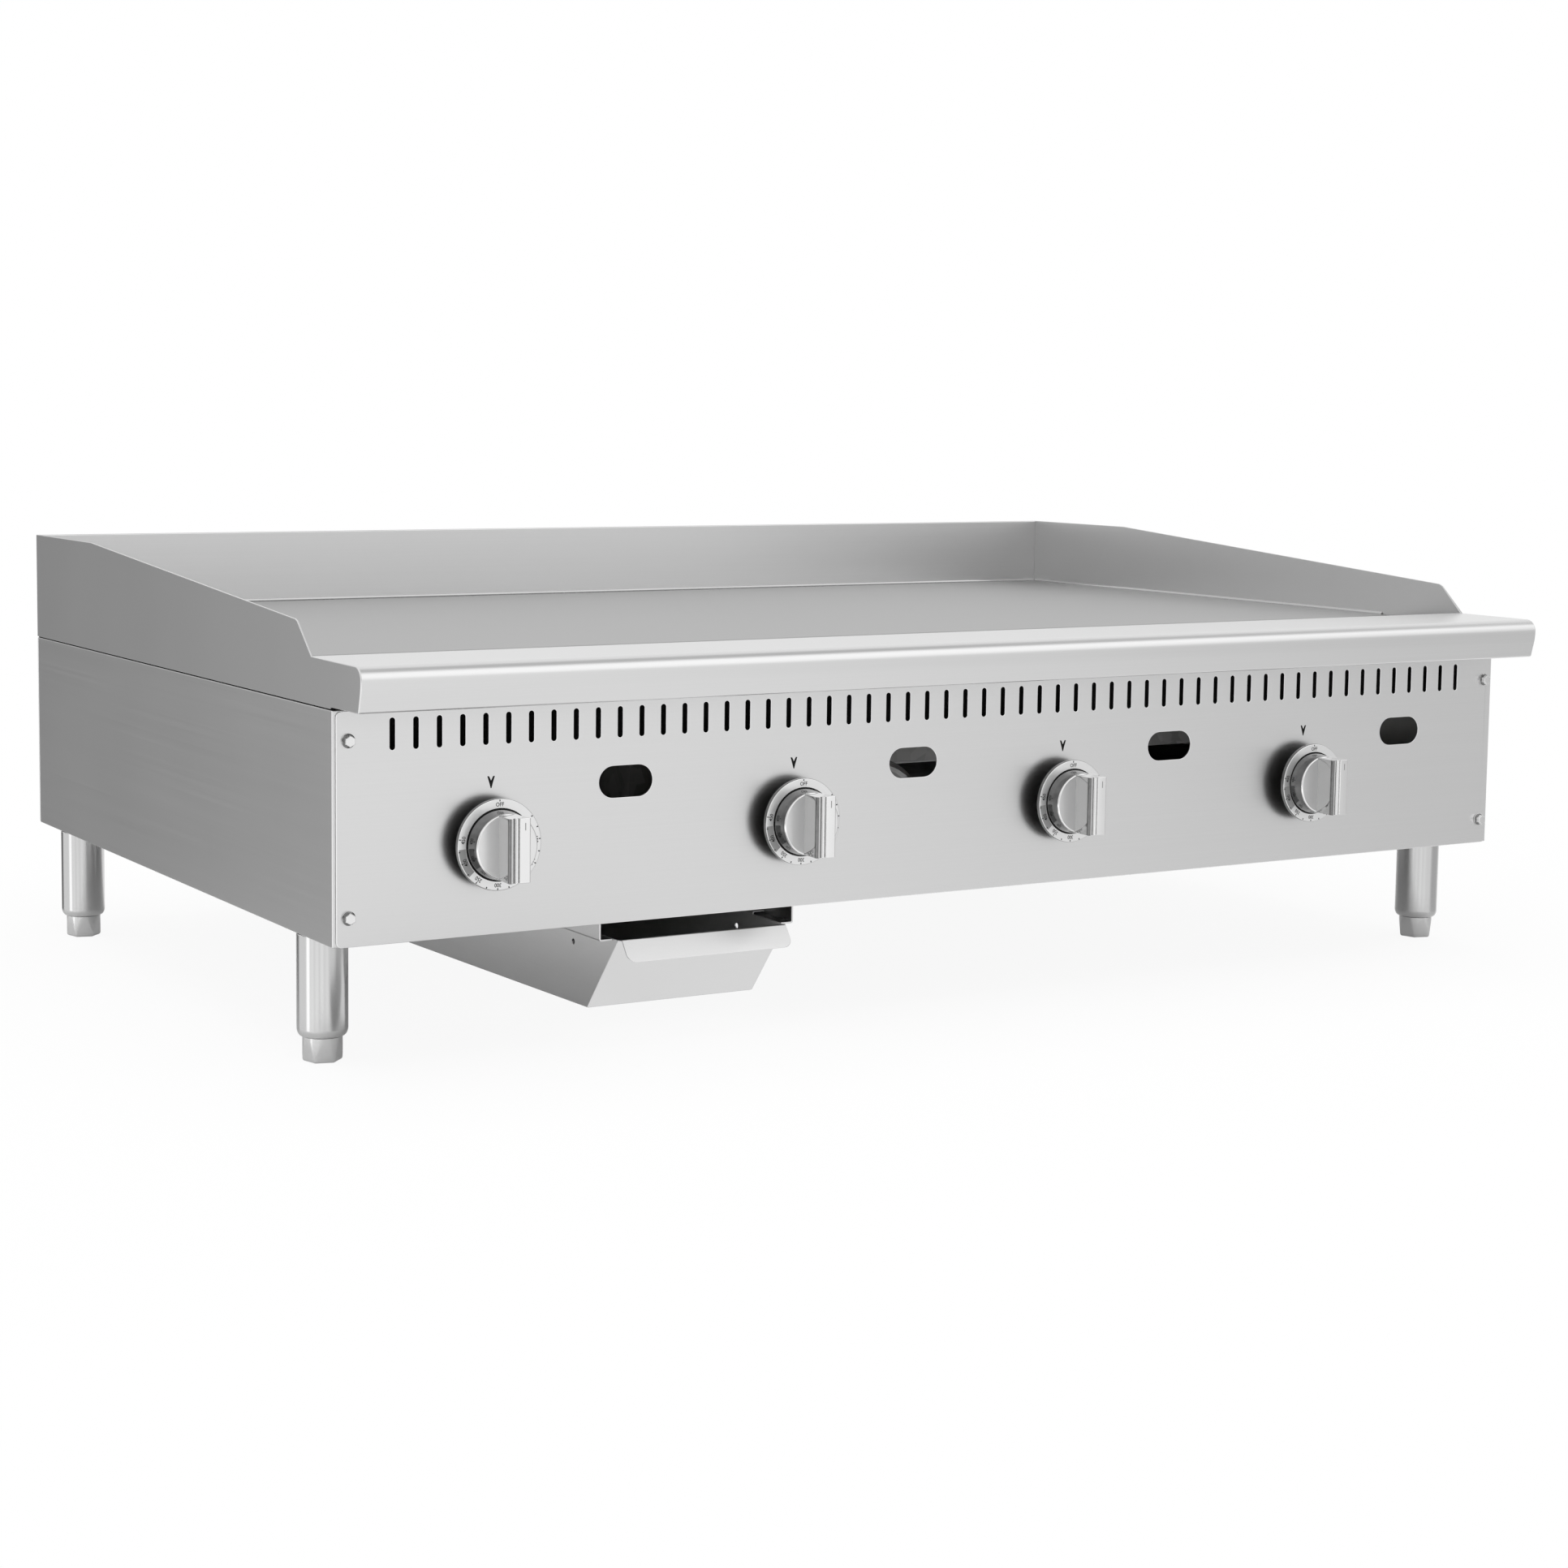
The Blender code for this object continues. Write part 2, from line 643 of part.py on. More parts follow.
def legs():
    """Four legs: a screw-in tube, its nut plate inside the body, and an adjusting foot."""
    tube_bottom = FOOT_SHOWING
    foot_top = tube_bottom + FOOT_STEM_LENGTH
    bore = FOOT_STEM + GAP
    bore_top = foot_top + BORE_SPARE
    plate_bottom = BASE + SHEET + GAP
    stud_top = plate_bottom + LEG_PLATE + STUD_ABOVE_PLATE
    leg_profile = [(0, stud_top), (STUD_RADIUS, stud_top), (STUD_RADIUS, BASE - GAP),
                   (LEG_RADIUS, BASE - GAP)]
    leg_profile += arc((LEG_RADIUS - LEG_ROUND, tube_bottom + LEG_ROUND), LEG_ROUND, 0, -90, 3)
    leg_profile += [(bore, tube_bottom), (bore, bore_top), (0, bore_top)]
    foot_profile = [(0, foot_top), (FOOT_STEM, foot_top), (FOOT_STEM, tube_bottom - GAP),
                    (FOOT_RADIUS, tube_bottom - GAP), (FOOT_RADIUS, FOOT_CHAMFER),
                    (FOOT_SOLE, 0), (0, 0)]
    for end, leg_y in zip(("front", "rear"), LEG_Y):
        for hand, side in (("left", -1), ("right", 1)):
            x = side * LEG_X
            stand = Matrix.Translation((x, leg_y, 0))
            turned(f"leg_{end}_{hand}", leg_profile, 20, STAINLESS, stand)
            turned(f"foot_{end}_{hand}", foot_profile, 20, CHROME, stand)
            inner = x - side * LEG_PLATE_INSET
            outer = side * (INNER - SLIVER)
            low = (min(inner, outer), leg_y - LEG_PLATE_HALF)
            high = (max(inner, outer), leg_y + LEG_PLATE_HALF)
            hole = circle((x, leg_y), STUD_RADIUS + GAP, 12)
            mesh = outline_mesh([rectangle(low, high), hole], LEG_PLATE)
            matrix = Matrix.Translation((0, 0, plate_bottom + LEG_PLATE / 2))
            place(f"leg_plate_{end}_{hand}", mesh, GALVANISED, matrix=matrix)


def drawer_rails():
    """Two Z rails under the floor, whose lips carry the drawer's flanges."""
    for name, side in (("drawer_rail_left", -1), ("drawer_rail_right", 1)):
        foot = DRAWER_X + side * (RAIL_WEB + RAIL_FOOT)
        web = DRAWER_X + side * RAIL_WEB
        lip = DRAWER_X + side * RAIL_LIP
        path = [(foot, BASE + SHEET), (web, BASE + SHEET), (web, BASE - RAIL_DROP), (lip, BASE - RAIL_DROP)]
        rail = place(name, folded_strip(path, *RAIL_Y, "Y"), STAINLESS)
        solidify(rail, SHEET, -1.0 if side < 0 else 1.0)


def pulled_edge(sheet, edge, way):
    """Grow the sheet from one of its open edges, and give back the new edge."""
    grown = bmesh.ops.extrude_edge_only(sheet, edges=[edge])["geom"]
    corners = [item for item in grown if isinstance(item, bmesh.types.BMVert)]
    bmesh.ops.translate(sheet, vec=way, verts=corners)
    return next(item for item in grown if isinstance(item, bmesh.types.BMEdge))


def grease_drawer():
    """A folded pan with a leaning front, raised side flanges and a turned-down pull."""
    low = (DRAWER_X - DRAWER_HALF, DRAWER_TOP_Y, DRAWER_RIM - DRAWER_FRONT_DEPTH)
    high = (DRAWER_X + DRAWER_HALF, DRAWER_BACK_Y, DRAWER_RIM)
    pan = open_pan(low, high)
    for vert in pan.verts:
        if vert.co.z < DRAWER_RIM - TOUCH:
            if vert.co.y > DRAWER_BACK_Y - TOUCH:
                vert.co.z = DRAWER_RIM - DRAWER_BACK_DEPTH
            else:
                vert.co.y = DRAWER_FOOT_Y
    rim = [edge for edge in pan.edges if edge.is_boundary]
    for edge in rim:
        middle = (edge.verts[0].co + edge.verts[1].co) / 2
        if middle.y > DRAWER_BACK_Y - TOUCH:
            continue
        if middle.y < DRAWER_TOP_Y + TOUCH:
            fold = pulled_edge(pan, edge, (0, -FLAP_REACH, -FLAP_DROP))
            bmesh.ops.bevel(pan, geom=fold.verts[:], offset=FLAP_CORNER, segments=3, affect="VERTICES",
                            profile=0.5)
        else:
            reach = math.copysign(DRAWER_FLANGE, middle.x - DRAWER_X)
            upper = pulled_edge(pan, edge, (0, 0, DRAWER_SIDE_RISE))
            pulled_edge(pan, upper, (reach, 0, 0))
    bmesh.ops.recalc_face_normals(pan, faces=pan.faces)
    floor = min(pan.faces, key=lambda face: face.calc_center_median().z)
    if floor.normal.z > 0:
        bmesh.ops.reverse_faces(pan, faces=pan.faces)
    mesh = bpy.data.meshes.new("grease_drawer")
    pan.to_mesh(mesh)
    pan.free()
    drawer = place("grease_drawer", mesh, STAINLESS)
    solidify(drawer, DRAWER_SHEET)
    reach = DRAWER_HALF + DRAWER_HOLE_SPARE
    start = (DRAWER_X - reach, DRAWER_HOLE_Y, DRAWER_HOLE_Z)
    drill(drawer, "drawer_holes", DRAWER_HOLE, start, 2 * reach, "X", 12)


def front_bolts():
    """Hex flange bolts that hold the control panel to the folded side edges."""
    flange = 0.00575
    flange_edge = 0.0008
    flange_top = 0.0015
    flange_slope = 0.0005
    shank = BOLT_HOLE - GAP
    shank_end = -0.008
    head_corner = 0.0045
    head_height = 0.0060
    profile = [(0, flange_top), (flange - flange_slope, flange_top), (flange, flange_edge),
               (flange, GAP), (shank, GAP), (shank, shank_end), (0, shank_end)]
    for hand, side in (("left", -1), ("right", 1)):
        for end, rise in zip(("lower", "upper"), BOLT_RISES):
            axis = pointing_front((side * BOLT_X, FRONT, BASE + rise))
            name = f"panel_bolt_{end}_{hand}"
            bolt = turned(name, profile, 12, ZINC, axis)
            lift = Matrix.Translation((0, 0, flange_edge))
            hexagon = cylinder_mesh(head_corner, head_height, 6)
            combine(bolt, tool(f"{name}_head", hexagon, axis @ lift), "UNION")


def grip_outline():
    """The knob's upright grip, its ends following the disc below it."""
    radius = DISC_RADIUS - 2 * SLIVER
    lean = math.degrees(math.asin(GRIP_HALF / radius))
    top = arc((0, 0), radius, 90 - lean, 90 + lean, 4)
    return top + arc((0, 0), radius, 270 - lean, 270 + lean, 4)


def controls():
    """Four thermostats, each with its valve body, turning stem and knob."""
    chamfer = 0.0008
    dial_drop = 0.0015
    rim_side = DIAL_FACE - 0.0035
    rim_back = DIAL_FACE - 0.005
    dial_back = DIAL_FACE - 0.006
    knob_profile = [(0, DISC_FACE), (DISC_RADIUS - chamfer, DISC_FACE), (DISC_RADIUS, DISC_FACE - chamfer),
                    (DISC_RADIUS + chamfer, DIAL_FACE - dial_drop),
                    (DIAL_INNER - SLIVER, DIAL_FACE - dial_drop), (DIAL_INNER, DIAL_FACE),
                    (KNOB_RADIUS - chamfer, DIAL_FACE), (KNOB_RADIUS, DIAL_FACE - chamfer),
                    (KNOB_RADIUS, rim_side), (KNOB_RADIUS - 2 * dial_drop, rim_back),
                    (HUB_RADIUS, dial_back), (HUB_RADIUS, KNOB_BACK), (STEM_BORE, KNOB_BACK),
                    (STEM_BORE, BORE_END), (0, BORE_END)]
    stem_front = BORE_END - GAP
    stem_profile = [(0, stem_front), (STEM_RADIUS, stem_front), (STEM_RADIUS, STEM_END), (0, STEM_END)]
    bonnet_profile = [(0, BONNET_REACH[0]), (BONNET_RADIUS, BONNET_REACH[0]),
                      (BONNET_RADIUS, BONNET_REACH[1]), (0, BONNET_REACH[1])]
    grip_bottom = DISC_FACE - TOUCH
    grip = outline_mesh([grip_outline()], GRIP_FACE - grip_bottom)
    grip_middle = Matrix.Translation((0, 0, (GRIP_FACE + grip_bottom) / 2))
    valve_bottom = MANIFOLD_Z + MANIFOLD_RADIUS + GAP
    for control in range(CONTROL_COUNT):
        number = control + 1
        x = knob_x(control)
        start = (x, FRONT, BASE + KNOB_RISE)
        axis = pointing_front(start)
        knob = turned(f"knob_{number}", knob_profile, 28, CHROME, axis)
        combine(knob, tool(f"grip_{number}", grip.copy(), axis @ grip_middle), "UNION")
        turned(f"valve_stem_{number}", stem_profile, 12, ZINC, axis)
        low = (x - VALVE_HALF, FRONT + VALVE_DEPTHS[0], valve_bottom)
        high = (x + VALVE_HALF, FRONT + VALVE_DEPTHS[1], BASE + VALVE_TOP)
        valve = place(f"thermostat_valve_{number}", box_mesh(low, high), BRASS)
        bonnet = turned(f"bonnet_{number}", bonnet_profile, 16, BRASS, axis, TOOLS)
        bonnet.hide_render = True
        bonnet.display_type = "WIRE"
        combine(valve, bonnet, "UNION")
        drill(valve, f"stem_bore_{number}", STEM_BORE, start, STEM_BORE_DEPTH, "Y", 12)


def gas_supply():
    """The manifold behind the controls, and the pipe that turns back from it to the rear inlet."""
    elbow_x = INLET_X - INLET_BEND
    lead_x = elbow_x - INLET_LEAD
    manifold = [(MANIFOLD_START_X, MANIFOLD_Y, MANIFOLD_Z), (lead_x - GAP, MANIFOLD_Y, MANIFOLD_Z)]
    tube("gas_manifold", manifold, MANIFOLD_RADIUS, BLACK_PIPE)
    inlet = [(lead_x, MANIFOLD_Y, MANIFOLD_Z)]
    for x, y in arc((elbow_x, MANIFOLD_Y + INLET_BEND), INLET_BEND, -90, 0, 6):
        inlet.append((x, y, MANIFOLD_Z))
    inlet.append((INLET_X, BACK, MANIFOLD_Z))
    tube("gas_inlet_pipe", inlet, MANIFOLD_RADIUS, BLACK_PIPE)


def burners():
    """U-shaped burners, each with a bell mouth, a gas tube from its valve and a pilot."""
    for control in range(CONTROL_COUNT):
        number = control + 1
        middle = knob_x(control) + BURNER_OFFSET
        inlet = middle + BURNER_SPREAD
        route = [(inlet, BURNER_INLET_Y + reach, BURNER_Z) for reach, _ in MOUTH_WIDTHS]
        widths = [width for _, width in MOUTH_WIDTHS]
        for x, y in arc((middle, BURNER_BACK_Y), BURNER_SPREAD, 0, 180, 8):
            route.append((x, y, BURNER_Z))
            widths.append(1.0)
        route.append((middle - BURNER_SPREAD, BURNER_FRONT_Y, BURNER_Z))
        widths.append(1.0)
        tube(f"burner_{number}", route, BURNER_RADIUS, BURNER_STEEL, widths)
        gas_tube(number, knob_x(control), inlet)
        pilot(number, middle)


def gas_tube(number, valve_x, inlet):
    """From the valve's right cheek to the burner's mouth; one of them takes a wider bend."""
    wide = number == WIDE_TUBE
    rise = WIDE_RISE if wide else 0.0
    bow = WIDE_BOW if wide else 0.0
    start = Vector((valve_x, 0, 0)) + Vector(TUBE_START)
    end = Vector((inlet, BURNER_INLET_Y - GAP, BURNER_Z))
    bends = [start + Vector((TUBE_LEAD, 0, 0)),
             start + Vector((0.035, -0.005, rise)),
             start + Vector((0.050 + bow, -0.004, 0.8 * rise)),
             Vector((inlet + bow, FRONT + 0.056, BASE + 0.092)),
             end - Vector((0, TUBE_LEAD, 0))]
    route = [start, *smooth_route(bends, 4), end]
    tube(f"gas_tube_{number}", route, TUBE_RADIUS, ALUMINIUM)


def pilot(number, x):
    """A thin feed from the manifold to a flame tip between the burner's two runs."""
    foot = (x, MANIFOLD_Y, MANIFOLD_Z + MANIFOLD_RADIUS + GAP)
    bends = [(x, MANIFOLD_Y, BASE + 0.080),
             (x, MANIFOLD_Y + 0.020, BASE + 0.104),
             (x, FRONT + 0.190, BASE + 0.108),
             (x, FRONT + 0.210, BASE + 0.118),
             (x, FRONT + 0.212, BASE + 0.132)]
    route = [foot, *smooth_route(bends, 2)]
    widths = [1.0] * len(route)
    widths[-2:] = [PILOT_TIP, PILOT_TIP]
    tube(f"pilot_{number}", route, PILOT_RADIUS, BRASS, widths)


def main():
    side_panel("left_side_panel", -1)
    side_panel("right_side_panel", 1)
    back_panel()
    front_panel()
    front_ledge()
    splashes()
    griddle_plate()
    grease_trough()
    grease_chute()
    bottom_pan()
    bearers()
    legs()
    drawer_rails()
    grease_drawer()
    front_bolts()
    controls()
    gas_supply()
    burners()
    for piece in PARTS.objects:
        if piece.type == "MESH":
            shade_round(piece)


main()
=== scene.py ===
# %% [markdown]
# # A countertop gas griddle in its real finishes
#
# The imported CAD model gives every place, size and joint of the griddle. This lesson builds
# the looks around it: sheet metal with bent corners, a ground cooking plate, chrome knobs
# with printed dials, and a plain studio. Each piece rides on a CAD body, so it moves with
# that body's joint. We start by loading the CAD model and keeping its box.

# %% Load the CAD frame
import math

import bmesh
import bpy
from mathutils import Matrix, Vector


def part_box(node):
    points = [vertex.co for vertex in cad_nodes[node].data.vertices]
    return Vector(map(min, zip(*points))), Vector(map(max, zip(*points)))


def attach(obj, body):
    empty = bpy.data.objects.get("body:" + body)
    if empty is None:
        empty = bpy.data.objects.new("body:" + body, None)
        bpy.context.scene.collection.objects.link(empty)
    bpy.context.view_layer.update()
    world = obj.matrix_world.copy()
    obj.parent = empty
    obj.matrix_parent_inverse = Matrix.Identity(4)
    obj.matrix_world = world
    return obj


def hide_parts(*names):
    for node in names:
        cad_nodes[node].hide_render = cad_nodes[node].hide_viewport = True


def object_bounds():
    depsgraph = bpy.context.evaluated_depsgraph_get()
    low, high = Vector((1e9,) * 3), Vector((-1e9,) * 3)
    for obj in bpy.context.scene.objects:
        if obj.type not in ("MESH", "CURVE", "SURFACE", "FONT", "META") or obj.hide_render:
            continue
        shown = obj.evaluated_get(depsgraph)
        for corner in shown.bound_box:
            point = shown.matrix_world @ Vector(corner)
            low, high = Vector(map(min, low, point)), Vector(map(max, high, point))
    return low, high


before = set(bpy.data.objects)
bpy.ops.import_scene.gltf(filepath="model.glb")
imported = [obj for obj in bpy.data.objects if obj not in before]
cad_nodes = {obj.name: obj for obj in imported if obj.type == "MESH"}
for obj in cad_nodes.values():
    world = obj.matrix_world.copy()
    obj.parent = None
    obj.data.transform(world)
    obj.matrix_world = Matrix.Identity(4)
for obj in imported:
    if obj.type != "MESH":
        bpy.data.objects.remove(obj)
cad_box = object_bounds()

# %% [markdown]
# ## One way to write node trees
#
# Shader and Geometry Nodes trees are both graphs of nodes and links. Making each node by
# hand takes many lines, so a small class wraps an output socket and lets us write sums as
# plain Python. Any other node comes from one method: its type, its settings, its inputs.
# Nodes that come up often get a short name that calls this method.

# %% Node graphs as Python expressions
class Value:
    """A node's output, ready for arithmetic with numbers and other outputs."""

    def __init__(self, graph, socket):
        self.graph = graph
        self.socket = socket

    def _math(self, operation, first, second):
        return self.graph.node("ShaderNodeMath", {"operation": operation}, {0: first, 1: second})

    def __add__(self, other):
        return self._math("ADD", self, other)

    def __radd__(self, other):
        return self._math("ADD", other, self)

    def __sub__(self, other):
        return self._math("SUBTRACT", self, other)

    def __rsub__(self, other):
        return self._math("SUBTRACT", other, self)

    def __mul__(self, other):
        return self._math("MULTIPLY", self, other)

    def __rmul__(self, other):
        return self._math("MULTIPLY", other, self)


class Graph:
    """A node tree that is filled by calls of one method."""

    def __init__(self, tree):
        self.tree = tree

    def node(self, kind, settings=None, inputs=None, output=0):
        made = self.tree.nodes.new(kind)
        for name, value in (settings or {}).items():
            setattr(made, name, value)
        for key, value in (inputs or {}).items():
            for item in value if isinstance(value, list) else [value]:
                if isinstance(item, Value):
                    self.tree.links.new(item.socket, made.inputs[key])
                else:
                    made.inputs[key].default_value = item
        return Value(self, made.outputs[output]) if made.outputs else None

    def blend(self, share, first, second):
        """A colour between two colours."""
        return self.node("ShaderNodeMix", {"data_type": "RGBA"}, {0: share, 6: first, 7: second}, output=2)

    def smooth(self, value, low, high):
        """0 below low, 1 above high, and a soft step between them."""
        return self.node("ShaderNodeMapRange", {"interpolation_type": "SMOOTHSTEP"},
                         {"Value": value, "From Min": low, "From Max": high})

    def place(self):
        """Where a point is, in the frame that all pieces share."""
        return self.node("ShaderNodeTexCoord", output="Object")

    def axis(self, vector, name):
        """A vector's X, Y or Z."""
        return self.node("ShaderNodeSeparateXYZ", inputs={0: vector}, output=name)

    def noise(self, place, scale, detail=4.0):
        return self.node("ShaderNodeTexNoise", inputs={"Vector": place, "Scale": scale, "Detail": detail})

    def ray(self, kind):
        """1 for rays of one kind, 0 for the others."""
        return self.node("ShaderNodeLightPath", output=f"Is {kind} Ray")

    def mix(self, share, first, second):
        """A shader between two shaders."""
        return self.node("ShaderNodeMixShader", inputs={0: share, 1: first, 2: second})


def grey(tone):
    return (tone, tone, tone, 1.0)


# %% [markdown]
# ## Brushed stainless sheet
#
# Most of the griddle is thin stainless sheet with a fine brushed finish. A brush leaves
# long hairlines in one direction, so the texture is a noise that is stretched along that
# direction. At arm's length they blend into a soft, even sheen. That is why the lines change
# the roughness and colour only a little, and the bump is shallow.

# %% Stainless finishes
def new_finish(name):
    material = bpy.data.materials.new(name)
    material.use_nodes = True
    material.node_tree.nodes.clear()
    return material, Graph(material.node_tree)


def metal_output(graph, colour, roughness, height, depth, bump, metallic=1.0, shine=0.5):
    """Ends a finish with a metal shader and a bump."""
    normal = graph.node("ShaderNodeBump", inputs={"Strength": bump, "Distance": depth, "Height": height})
    shader = graph.node("ShaderNodeBsdfPrincipled", inputs={
        "Base Color": colour, "Metallic": metallic, "Roughness": roughness, "Specular IOR Level": shine,
        "Normal": normal})
    graph.node("ShaderNodeOutputMaterial", inputs={"Surface": shader})


HAIRLINE_DEPTH, HAIRLINE_BUMP = 0.00004, 0.12
CLOUD_SCALE, CLOUD_DETAIL = 5.0, 2.0


def brushed_steel(name, lines, tone, roughness, spread=0.02):
    """Metal with hairlines; lines gives the noise's frequency along X, Y and Z."""
    material, graph = new_finish(name)
    place = graph.place()
    stretched = graph.node("ShaderNodeMapping", inputs={"Vector": place, "Scale": lines})
    hairline = graph.noise(stretched, 1.0)
    cloud = graph.noise(place, CLOUD_SCALE, CLOUD_DETAIL)
    wear = 0.7 * hairline + 0.3 * cloud
    colour = graph.blend(wear, grey(tone - spread), grey(tone + spread))
    metal_output(graph, colour, (roughness - 0.04) + 0.08 * wear, hairline, HAIRLINE_DEPTH, HAIRLINE_BUMP)
    return material


LONG, FINE, GROUND = 3.0, 900.0, 260.0
STEEL = 0.71
stainless_x = brushed_steel("stainless_brushed_along_x", (LONG, FINE, FINE), STEEL, 0.30)
stainless_y = brushed_steel("stainless_brushed_along_y", (FINE, LONG, FINE), STEEL, 0.30)
# The leg tube is darker than the sheet: painted shade for its place under the body.
shaded_leg_steel = brushed_steel("stainless_tube_brushed_along_z", (FINE, FINE, LONG), 0.58, 0.17)
ground_plate = brushed_steel("ground_plate_steel", (LONG, GROUND, GROUND), 0.42, 0.45, 0.03)
print("stainless: sheets of two grain directions, leg tube and ground plate")

# %% [markdown]
# ## Plated, cast and printed finishes
#
# The knobs and feet are chrome: nearly a mirror, with a faint haze. The dial's ring is a
# satin silver that carries black print. Bolts are bright zinc, and the parts inside the body
# are galvanised sheet with crystal spangles, black iron pipe, brass and aluminium. A Voronoi
# texture gives each spangle one tone; noise gives the others their patches.

# %% Other finishes
def mottled(name, dark, light, roughness, size, metallic=1.0, depth=0.00005, cells=False, shine=0.5):
    """A finish with patches of two tones, round as noise or sharp as crystal cells."""
    material, graph = new_finish(name)
    place = graph.place()
    if cells:
        tint = graph.node("ShaderNodeTexVoronoi", inputs={"Vector": place, "Scale": 1 / size}, output="Color")
        patch = graph.node("ShaderNodeSeparateColor", inputs={"Color": tint})
    else:
        patch = graph.noise(place, 1 / size)
    colour = graph.blend(patch, dark, light)
    metal_output(graph, colour, (roughness - 0.03) + 0.06 * patch, patch, depth, 0.1, metallic, shine)
    return material


chrome = mottled("polished_chrome", grey(0.80), grey(0.84), 0.07, 0.015, depth=0.00001)
# Painted shade: a dark copy of chrome for the dial's wall, the grip's grooves and flank, and the bolts'
# dishes.
recess_shade_chrome = mottled("chrome_painted_recess_shade", grey(0.14), grey(0.24), 0.12, 0.004, depth=0.00001)
# Painted shade: a darker copy of chrome for the grip's sides; the plate weld has the same tone as its own.
chrome_grip_shade_and_weld = mottled("chrome_grip_side_shade_and_weld", grey(0.44), grey(0.48), 0.08, 0.015, depth=0.00001)
foot_chrome = mottled("plated_foot", grey(0.62), grey(0.68), 0.16, 0.010, depth=0.00002)
dial_satin = mottled("satin_dial", grey(0.80), grey(0.83), 0.34, 0.004, depth=0.00001)
dial_grey = mottled("grey_dial_print", grey(0.30), grey(0.33), 0.45, 0.004, 0.3)
black_print = mottled("black_print", grey(0.010), grey(0.014), 0.55, 0.003, 0.0, shine=0.1)
black_seam_shade = mottled("black_seam_painted_shade", grey(0.008), grey(0.012), 0.70, 0.006, 0.0, shine=0.05)
# Painted shade: the knob's back is black, so its reflection on the panel is dark.
knob_back_shade = mottled("knob_back_painted_shade", grey(0.010), grey(0.018), 0.50, 0.005, 0.0, shine=0.2)
# Partly painted highlight: the deburred edge is brighter than the sheet.
edge_highlight_finish = mottled("deburred_edge_with_painted_highlight", grey(0.88), grey(0.94), 0.35, 0.003)
zinc = mottled("bright_zinc", grey(0.76), grey(0.82), 0.18, 0.003)
galvanised = mottled("galvanised_spangle", grey(0.38), grey(0.52), 0.46, 0.012, cells=True)
black_pipe = mottled("black_iron_pipe", grey(0.035), grey(0.060), 0.60, 0.006, 0.2, 0.0002)
burner_steel = mottled("aluminised_burner", (0.36, 0.35, 0.33, 1.0), (0.42, 0.41, 0.40, 1.0), 0.55, 0.010)
brass = mottled("plain_brass", (0.60, 0.44, 0.19, 1.0), (0.70, 0.53, 0.25, 1.0), 0.34, 0.012)
aluminium = mottled("aluminium_tube", grey(0.62), grey(0.69), 0.38, 0.008)
# Painted light: the drawer's inside is a light matte finish, so it reads lit.
drawer_inside_painted_light = mottled("painted_light_drawer_inside", grey(0.66), grey(0.74), 0.60, 0.020, 0.0)
print("seventeen more finishes")

# %% [markdown]
# ## Sheet metal, the way a press brake makes it
#
# A folded part is one flat sheet with bends, so it is drawn as a line across the folds that is
# pulled out along the sheet. Real bends have a radius, and cut edges are a sheet's thickness
# wide and lightly deburred. Solidify gives the thickness and Bevel the deburred edge. Weighted
# normals keep the flats flat, or the bends' smooth shading would bleed over them and dent the
# reflections.

# %% Lines and skins
def arc(centre, radius, start, end, steps):
    """Points on a circle, or on an oval with two radii, from one angle to another in degrees."""
    wide, tall = radius if isinstance(radius, tuple) else (radius, radius)
    angles = [math.radians(start + (end - start) * step / steps) for step in range(steps + 1)]
    return [(centre[0] + wide * math.cos(a), centre[1] + tall * math.sin(a)) for a in angles]


def bent(path, radius, steps=5):
    """A path of straight runs, with a bend at each inner corner."""
    points = [tuple(path[0])]
    for before, corner, after in zip(path, path[1:], path[2:]):
        corner = Vector(corner)
        back = (Vector(before) - corner).normalized()
        ahead = (Vector(after) - corner).normalized()
        half = back.angle(ahead) / 2
        run = radius / math.tan(half)
        centre = corner + (back + ahead).normalized() * radius / math.sin(half)
        first = corner + back * run - centre
        last = corner + ahead * run - centre
        points += [tuple(centre + radius * first.slerp(last, step / steps)) for step in range(steps + 1)]
    return points + [tuple(path[-1])]


def move_new(skin, geometry, way):
    """Moves the points among the geometry that was just made."""
    points = [item for item in geometry if isinstance(item, bmesh.types.BMVert)]
    bmesh.ops.translate(skin, verts=points, vec=way)


def drawn_out(path, along, start, end):
    """A skin: a path in the cross plane, pulled out along X or Y."""
    skin = bmesh.new()
    along_x = along == "X"
    verts = [skin.verts.new((start, a, b) if along_x else (a, start, b)) for a, b in path]
    edges = [skin.edges.new(pair) for pair in zip(verts, verts[1:])]
    pull = (end - start, 0, 0) if along_x else (0, end - start, 0)
    move_new(skin, bmesh.ops.extrude_edge_only(skin, edges=edges)["geom"], pull)
    return skin


def cube_skin():
    skin = bmesh.new()
    bmesh.ops.create_cube(skin, size=1.0)
    return skin


def round_off(skin, geometry, radius, segments, kind="EDGES"):
    """Rounds edges, or the corners of a sheet."""
    bmesh.ops.bevel(skin, geom=geometry, offset=radius, segments=segments, profile=0.5, affect=kind)


def face_out(skin, outward):
    """Turns the faces so that the largest one looks outward."""
    bmesh.ops.recalc_face_normals(skin, faces=skin.faces)
    largest = max(skin.faces, key=lambda face: face.calc_area())
    if largest.normal.dot(Vector(outward)) < 0:
        bmesh.ops.reverse_faces(skin, faces=skin.faces)


# %% From skins to pieces
SHEET = 0.0015


def to_mesh(name, skin, *finishes):
    mesh = bpy.data.meshes.new(name)
    skin.to_mesh(mesh)
    skin.free()
    for finish in finishes:
        mesh.materials.append(finish)
    return mesh


def new_piece(name, mesh):
    piece = bpy.data.objects.new(name, mesh)
    bpy.context.scene.collection.objects.link(piece)
    return piece


